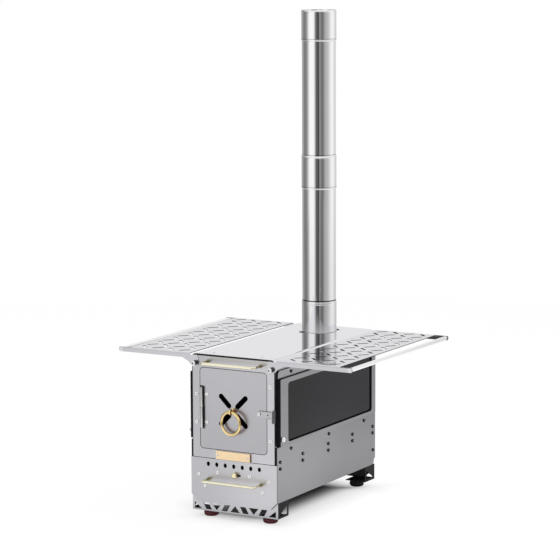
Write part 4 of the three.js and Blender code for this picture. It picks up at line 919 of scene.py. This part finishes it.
# %% [markdown]
# ## Hinge
# The hinge is two leaves, each with half of the barrel, and a pin through both. The leaves lie
# behind the sheet and only the barrel shows in its slot, so the barrel is a tube with eased rims,
# which gives the fine dark line between its halves. Its flanks are painted dark, as the shade of
# the slot beside them.

# %% Hinge
BARREL_R, BORE_R = 4.5 * MM, 2.3 * MM
WEB_HALF, WEB_FROM, WEB_SHORT = 2.2 * MM, 2.6 * MM, 0.5 * MM  # the web from barrel to leaf
hinge_x, hinge_y, _ = middle("hinge_pin")


# Painted shade: the flanks of the barrel are dark.
def painted_shade_flanks(metal, shade):
    return shade * ((abs(metal.facing("Y")) > 0.75) * 0.96 + 0.04)


barrel_steel = polished_steel("barrel_steel", 0.72, 0.32, (1, 1, 0.05), 600.0, painted_shade_flanks)
for leaf, body in (("hinge_frame_leaf", "stove_body"), ("hinge_door_leaf", "door")):
    low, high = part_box(leaf)
    bm = bmesh.new()
    turned(bm, rounded([(BORE_R, low.z), (BARREL_R, low.z), (BARREL_R, high.z), (BORE_R, high.z)],
                       0.6 * MM, closed=True), "Z", (hinge_x, hinge_y, 0), hollow=True, sides=40)
    slab(bm, (hinge_x - WEB_HALF, hinge_y + WEB_FROM, low.z + WEB_SHORT),
         (hinge_x + WEB_HALF, high.y, high.z - WEB_SHORT), 0.2 * MM)
    plate_ends = (low.x, hinge_x) if leaf == "hinge_frame_leaf" else (hinge_x, high.x)
    slab(bm, (plate_ends[0], high.y - SHEET, low.z), (plate_ends[1], high.y, high.z), 0.2 * MM)
    piece(leaf.replace("hinge_", "barrel_"), bm, barrel_steel, body, "sheet_steel", leaf)
foot, head = (corner.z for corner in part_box("hinge_pin"))
outline = rounded([(0, foot), (2 * MM, foot), (2 * MM, head - 1.2 * MM),
                   (3.5 * MM, head - 1.2 * MM), (3.2 * MM, head - 0.2 * MM), (0, head)],
                  0.4 * MM)
turned_piece("barrel_pin", "hinge_pin", outline, "Z", (hinge_x, hinge_y, 0), barrel_steel,
             slot="sheet_steel", sides=32)
print("hinge axis at", round(hinge_x / MM, 1), round(hinge_y / MM, 1))

# %% [markdown]
# ## Shelf rails and feet
# Each shelf has a round rail along its outer edge. Shelves and rails stay out of reflections,
# because the pipes would show them as grey streaks across the bands of the screens, which the
# photograph keeps clean. The feet are moulded rubber with a full, soft lower edge and a narrower
# neck, and a hollow underneath for the screw.

# %% Rails
RAIL_R = 4.8 * MM
for name in ("left", "right"):
    node = f"shelf_rail_{name}"
    low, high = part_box(node)
    x, _, z = middle(node)
    outline = rounded([(0, low.y), (RAIL_R, low.y), (RAIL_R, high.y), (0, high.y)], 0.8 * MM)
    rail = turned_piece(f"round_rail_{name}", node, outline, "Y", (x, 0, z), mirror_rail,
                        f"{name}_shelf", sides=48)
    rail.visible_glossy = False
print("rails", round((high.y - low.y) / MM), "mm long")

# %% Feet
FOOT_OUTLINE = mm((0, 3), (4.5, 3), (4.5, 0), (12.5, 0), (15.8, 2.0), (17, 5.5), (17, 10.5),
                  (15.6, 12), (15.6, 15.7), (0, 15.7))
for end in ("front", "rear"):
    for name in ("left", "right"):
        node = f"foot_{end}_{name}"
        turned_piece(f"rubber_{node}", node, rounded(FOOT_OUTLINE, 1.2 * MM), "Z",
                     (*middle(node)[:2], 0), foot_rubber, slot="red_rubber", sides=64, crease=60)
print("four feet")

# %% [markdown]
# No light comes through the rear truss in the photograph, though it does through its end cheek.
# So a dark sheet with a folded lip stands behind the truss, between the two rear feet, to stand in
# for the shade there.

# %% Rear shading sheet
SHADING_SHEET_HALF = 92 * MM
low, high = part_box("rear_leg_frame")
rear, near, lip = high.y - 2.9 * MM, high.y - 4.2 * MM, high.y - 9 * MM
foot, top = low.z + 2 * MM, high.z - 1 * MM
section = rounded([(lip, foot), (rear, foot), (rear, top), (near, top),
                   (near, foot + 1.3 * MM), (lip, foot + 1.3 * MM)], 0.5 * MM, closed=True)
bm = bmesh.new()
ends = [[bm.verts.new((side * SHADING_SHEET_HALF, *spot)) for spot in section] for side in (-1, 1)]
skin(bm, *ends)
for end in ends:
    bm.faces.new(end)
piece("rear_shading_sheet", bm, dark_steel_and_shade, "stove_body", "sheet_steel")
print("shading sheet", round((top - foot) / MM, 1), "mm high")

# %% Nameplate
low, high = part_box("nameplate")
bm = bmesh.new()
slab(bm, low, high, 0.5 * MM)
piece("wooden_plate", bm, bare_wood, "stove_body", "bare_wood", "nameplate", crease=30)
print("plate", [round(v / MM, 1) for v in high - low])

# %% [markdown]
# ## Screws with Geometry Nodes
# Some sixty small screws hold the stove together. One tree builds a head from short rings: a
# skirt, a sloping shoulder, a flat land and a sunken socket. It puts a copy on each point of a
# mesh and turns it along the direction stored there. The sizes are inputs, so the same tree makes
# the bright screws of the front, with sockets painted near black as shade, the side screws, whose
# heads are painted dark as shade, and the rivets. Realize Instances makes real faces of the
# copies, and two Set Material nodes finish them.

# %% Screw tree
SCREW_SIDES = 20
LAND = 0.86  # the flat land of the head, as a part of its radius
tree = bpy.data.node_groups.new("screw_heads", "GeometryNodeTree")
tree.interface.new_socket("Points", in_out="INPUT", socket_type="NodeSocketGeometry")
SCREW_INPUTS = {}
for label in ("Head Radius", "Head Height", "Socket Radius"):
    socket = tree.interface.new_socket(label, in_out="INPUT", socket_type="NodeSocketFloat")
    SCREW_INPUTS[label] = socket.identifier
tree.interface.new_socket("Screws", in_out="OUTPUT", socket_type="NodeSocketGeometry")
screw = Finish(tree)
sizes = tree.nodes.new("NodeGroupInput")
points_in = Value(screw, sizes.outputs["Points"])
head_radius, head_height, socket_radius = (Value(screw, sizes.outputs[label])
                                           for label in SCREW_INPUTS)


def ring(low_radius, high_radius, tall):
    """One ring of the head, from one circle to the next."""
    return screw.add("GeometryNodeMeshCone", {"fill_type": "NONE"},
                     {"Vertices": SCREW_SIDES, "Radius Bottom": low_radius,
                      "Radius Top": high_radius, "Depth": tall}, out="Mesh")


def disc(radius):
    return screw.add("GeometryNodeMeshCircle", {"fill_type": "NGON"},
                     {"Vertices": SCREW_SIDES, "Radius": radius}, out="Mesh")


def lifted(shape, lift, recess, inside_out=False):
    """Lifts a ring or disc and marks whether it is recessed."""
    up = screw.add("ShaderNodeCombineXYZ", None, {"Z": lift})
    moved = screw.add("GeometryNodeTransform", None, {"Geometry": shape, "Translation": up})
    if inside_out:
        moved = screw.add("GeometryNodeFlipFaces", None, {"Mesh": moved})
    return screw.add("GeometryNodeStoreNamedAttribute", {"data_type": "FLOAT", "domain": "FACE"},
                     {"Geometry": moved, "Name": "recess", "Value": recess})


land, half, sunk = head_radius * LAND, head_height * 0.5, head_height * 0.3
head_join = tree.nodes.new("GeometryNodeJoinGeometry")
for part in (lifted(ring(head_radius, head_radius, half), 0.0, 0.0),
             lifted(ring(head_radius, land, half), half, 0.0),
             lifted(ring(land, socket_radius, 0.0), head_height, 0.0),
             lifted(disc(head_radius), 0.0, 0.0, True),
             lifted(ring(socket_radius, socket_radius, head_height * 0.7), sunk, 1.0, True),
             lifted(disc(socket_radius), sunk, 1.0)):
    tree.links.new(part.socket, head_join.inputs[0])
head = screw.add("GeometryNodeMergeByDistance", None,
                 {"Geometry": Value(screw, head_join.outputs[0]), "Distance": 0.00001})
gaze = screw.add("GeometryNodeInputNamedAttribute", {"data_type": "FLOAT_VECTOR"},
                 {"Name": "facing"})
aim = screw.add("FunctionNodeAlignRotationToVector", {"axis": "Z"}, {"Vector": gaze})
copies = screw.add("GeometryNodeInstanceOnPoints", None,
                   {"Points": points_in, "Instance": head, "Rotation": aim})
real = screw.add("GeometryNodeRealizeInstances", None, {"Geometry": copies})
bright = screw.add("GeometryNodeSetMaterial", None, {"Geometry": real, "Material": screw_steel})
in_recess = screw.add("GeometryNodeInputNamedAttribute", {"data_type": "FLOAT"},
                      {"Name": "recess"})
done = screw.add("GeometryNodeSetMaterial", None,
                 {"Geometry": bright, "Selection": in_recess > 0.5, "Material": painted_shade_screw})
screws_out = tree.nodes.new("NodeGroupOutput")
tree.links.new(done.socket, screws_out.inputs[0])
print("screw tree of", len(tree.nodes), "nodes")

# %% [markdown]
# Each list gives the places of the screws on one kind of sheet, in millimetres. The screws of
# one body are merged into one mesh.

# %% Places of the screws


def on_sheet(places, face=FRONT, outward=-1):
    return [((x * MM, face, z * MM), (0, outward, 0)) for x, z in places]


def on_sides(places):
    return [((side * HALF_WIDTH, y * MM, z * MM), (side, 0, 0))
            for side in (-1, 1) for y, z in places]


plate_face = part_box("nameplate")[0].y
lever_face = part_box("latch_lever")[1].y - SHEET
SKIRT_SINGLES = [(-161.5, 167.3), (17.5, 167.3), (192.5, 167.3), (239.5, 87.6)]
SKIRT_PAIRS = [(y, z) for y in (-212, -107.5, 14.5, 134, 237.5) for z in (144.7, 129.2)]
# Four kinds of screw, each by the radius and height of its head and the radius of its socket.
BIG, PAINTED_DARK, RIVET, SMALL = mm((4.2, 1.5, 1.2), (3.9, 2.2, 1.2), (2.4, 0.9, 1.7), (2.7, 1.2, 1.2))
STRIP_PLACES = [(y, 342.8) for y in (-161, 17, 195)]
FRONT_PLACES = [(95.5, 315.5), (95.4, 193.5), (-95, 284.5), (-95, 220.1)]
BACK_PLACES = [(x, z) for x in (-96, 96) for z in (320, 200, 80)]
SCREWS = {
    "stove_body": [
        (BIG, on_sheet(FRONT_PLACES) + on_sheet(BACK_PLACES, BACK, 1)),
        (PAINTED_DARK, on_sides(SKIRT_SINGLES + SKIRT_PAIRS + STRIP_PLACES)),
        (RIVET, [((x * MM, -206 * MM, HOB_HEIGHT), (0, 0, 1)) for x in (-62, 62)]),
        (SMALL, on_sheet([(-39.5, 149.3), (39.5, 149.3)], plate_face))],
    "door": [(BIG, on_sheet([(-69, 285.5), (-69, 221.5)]))],
    "latch": [(RIVET, on_sheet([(90.5, 252.5)], lever_face)),
              (SMALL, on_sheet([(105.5, 241.5)], lever_face))],
    "ash_drawer": [(BIG, on_sheet([(side * x, z) for side in (-1, 1)
                                   for x, z in ((91, 100.5), (41.5, 108), (74.5, 75))]))],
}
for name, side in SIDES:
    spot = [(side * 294, 370.2)]
    SCREWS[f"{name}_shelf"] = [(BIG, on_sheet(spot, SHELF_FRONT) + on_sheet(spot, SHELF_REAR, 1))]

# %% Set the screws
SCREW_FINISHES = (screw_steel, painted_shade_screw)


def set_screws(spots, kind):
    """Runs the tree on the given spots and returns the result as a plain mesh."""
    points = bpy.data.meshes.new("screw_points")
    points.from_pydata([spot for spot, _ in spots], [], [])
    facing = points.attributes.new("facing", "FLOAT_VECTOR", "POINT")
    for entry, (_, direction) in zip(facing.data, spots):
        entry.vector = direction
    holder = put("screw_points", points)
    setter = holder.modifiers.new("screws", "NODES")
    setter.node_group = tree
    for key, size in zip(SCREW_INPUTS.values(), kind):
        setter[key] = size
    graph = bpy.context.evaluated_depsgraph_get()
    made = bpy.data.meshes.new_from_object(holder.evaluated_get(graph))
    bpy.data.objects.remove(holder)
    # The mesh may start with an empty slot, and the screws painted dark as shade have a bright
    # socket.
    order = [SCREW_FINISHES.index(material) if material else 0 for material in made.materials]
    # Painted shade: the side screws take the dark finish on their heads.
    if kind == PAINTED_DARK:
        order = [1 - index for index in order]
    for polygon in made.polygons:
        polygon.material_index = order[polygon.material_index]
    return made


screw_count = 0
for body, kinds in SCREWS.items():
    bm = bmesh.new()
    for kind, spots in kinds:
        bm.from_mesh(set_screws(spots, kind))
        screw_count += len(spots)
    piece(f"screws_{body}", bm, SCREW_FINISHES, body, "polished_steel", crease=30)
print(screw_count, "screws")

# %% [markdown]
# ## Dressing the flat pieces
# The sheets of the CAD model have their true outline and thickness, so each only gets its finish.

# %% Finishes on the CAD nodes
DRESS = {  # a star stands for left and right
    satin_front: "front_panel door_panel drawer_front", satin_back: "back_panel",
    satin_shell: "body_shell", satin_side: "side_skirt_*", satin_strip: "head_strip_*",
    satin_bezel: "window_bezel_*", satin_hardware: "latch_lever latch_keeper",
    satin_inside: "base_plate drawer_tray door_stop_frame air_slide_track"
                  " grate_rail_* glass_clamp_*",
    mirror_shelf: "shelf_*", leg_steel: "front_leg_frame rear_leg_frame",
    black_gasket: "window_seal_*", window_glass: "window_glass_*", glass_rope: "door_rope_seal",
    rough_iron: "fire_grate", dark_steel_and_shade: "vent_disc air_slide"}
wears = {name.replace("*", side): material for material, names in DRESS.items()
         for name in names.split() for side in ("left", "right")}
for name, material in wears.items():
    nodes[name].data.materials.clear()
    nodes[name].data.materials.append(material)
for side in ("left", "right"):
    nodes[f"shelf_{side}"].visible_glossy = False
replaced = {name for made in bpy.data.objects for name in made.get("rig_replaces", [])}
undressed = set(nodes) - set(wears) - replaced
print("replaced", len(replaced), "nodes, undressed:", sorted(undressed))

# %% Done
print("scene dressed")
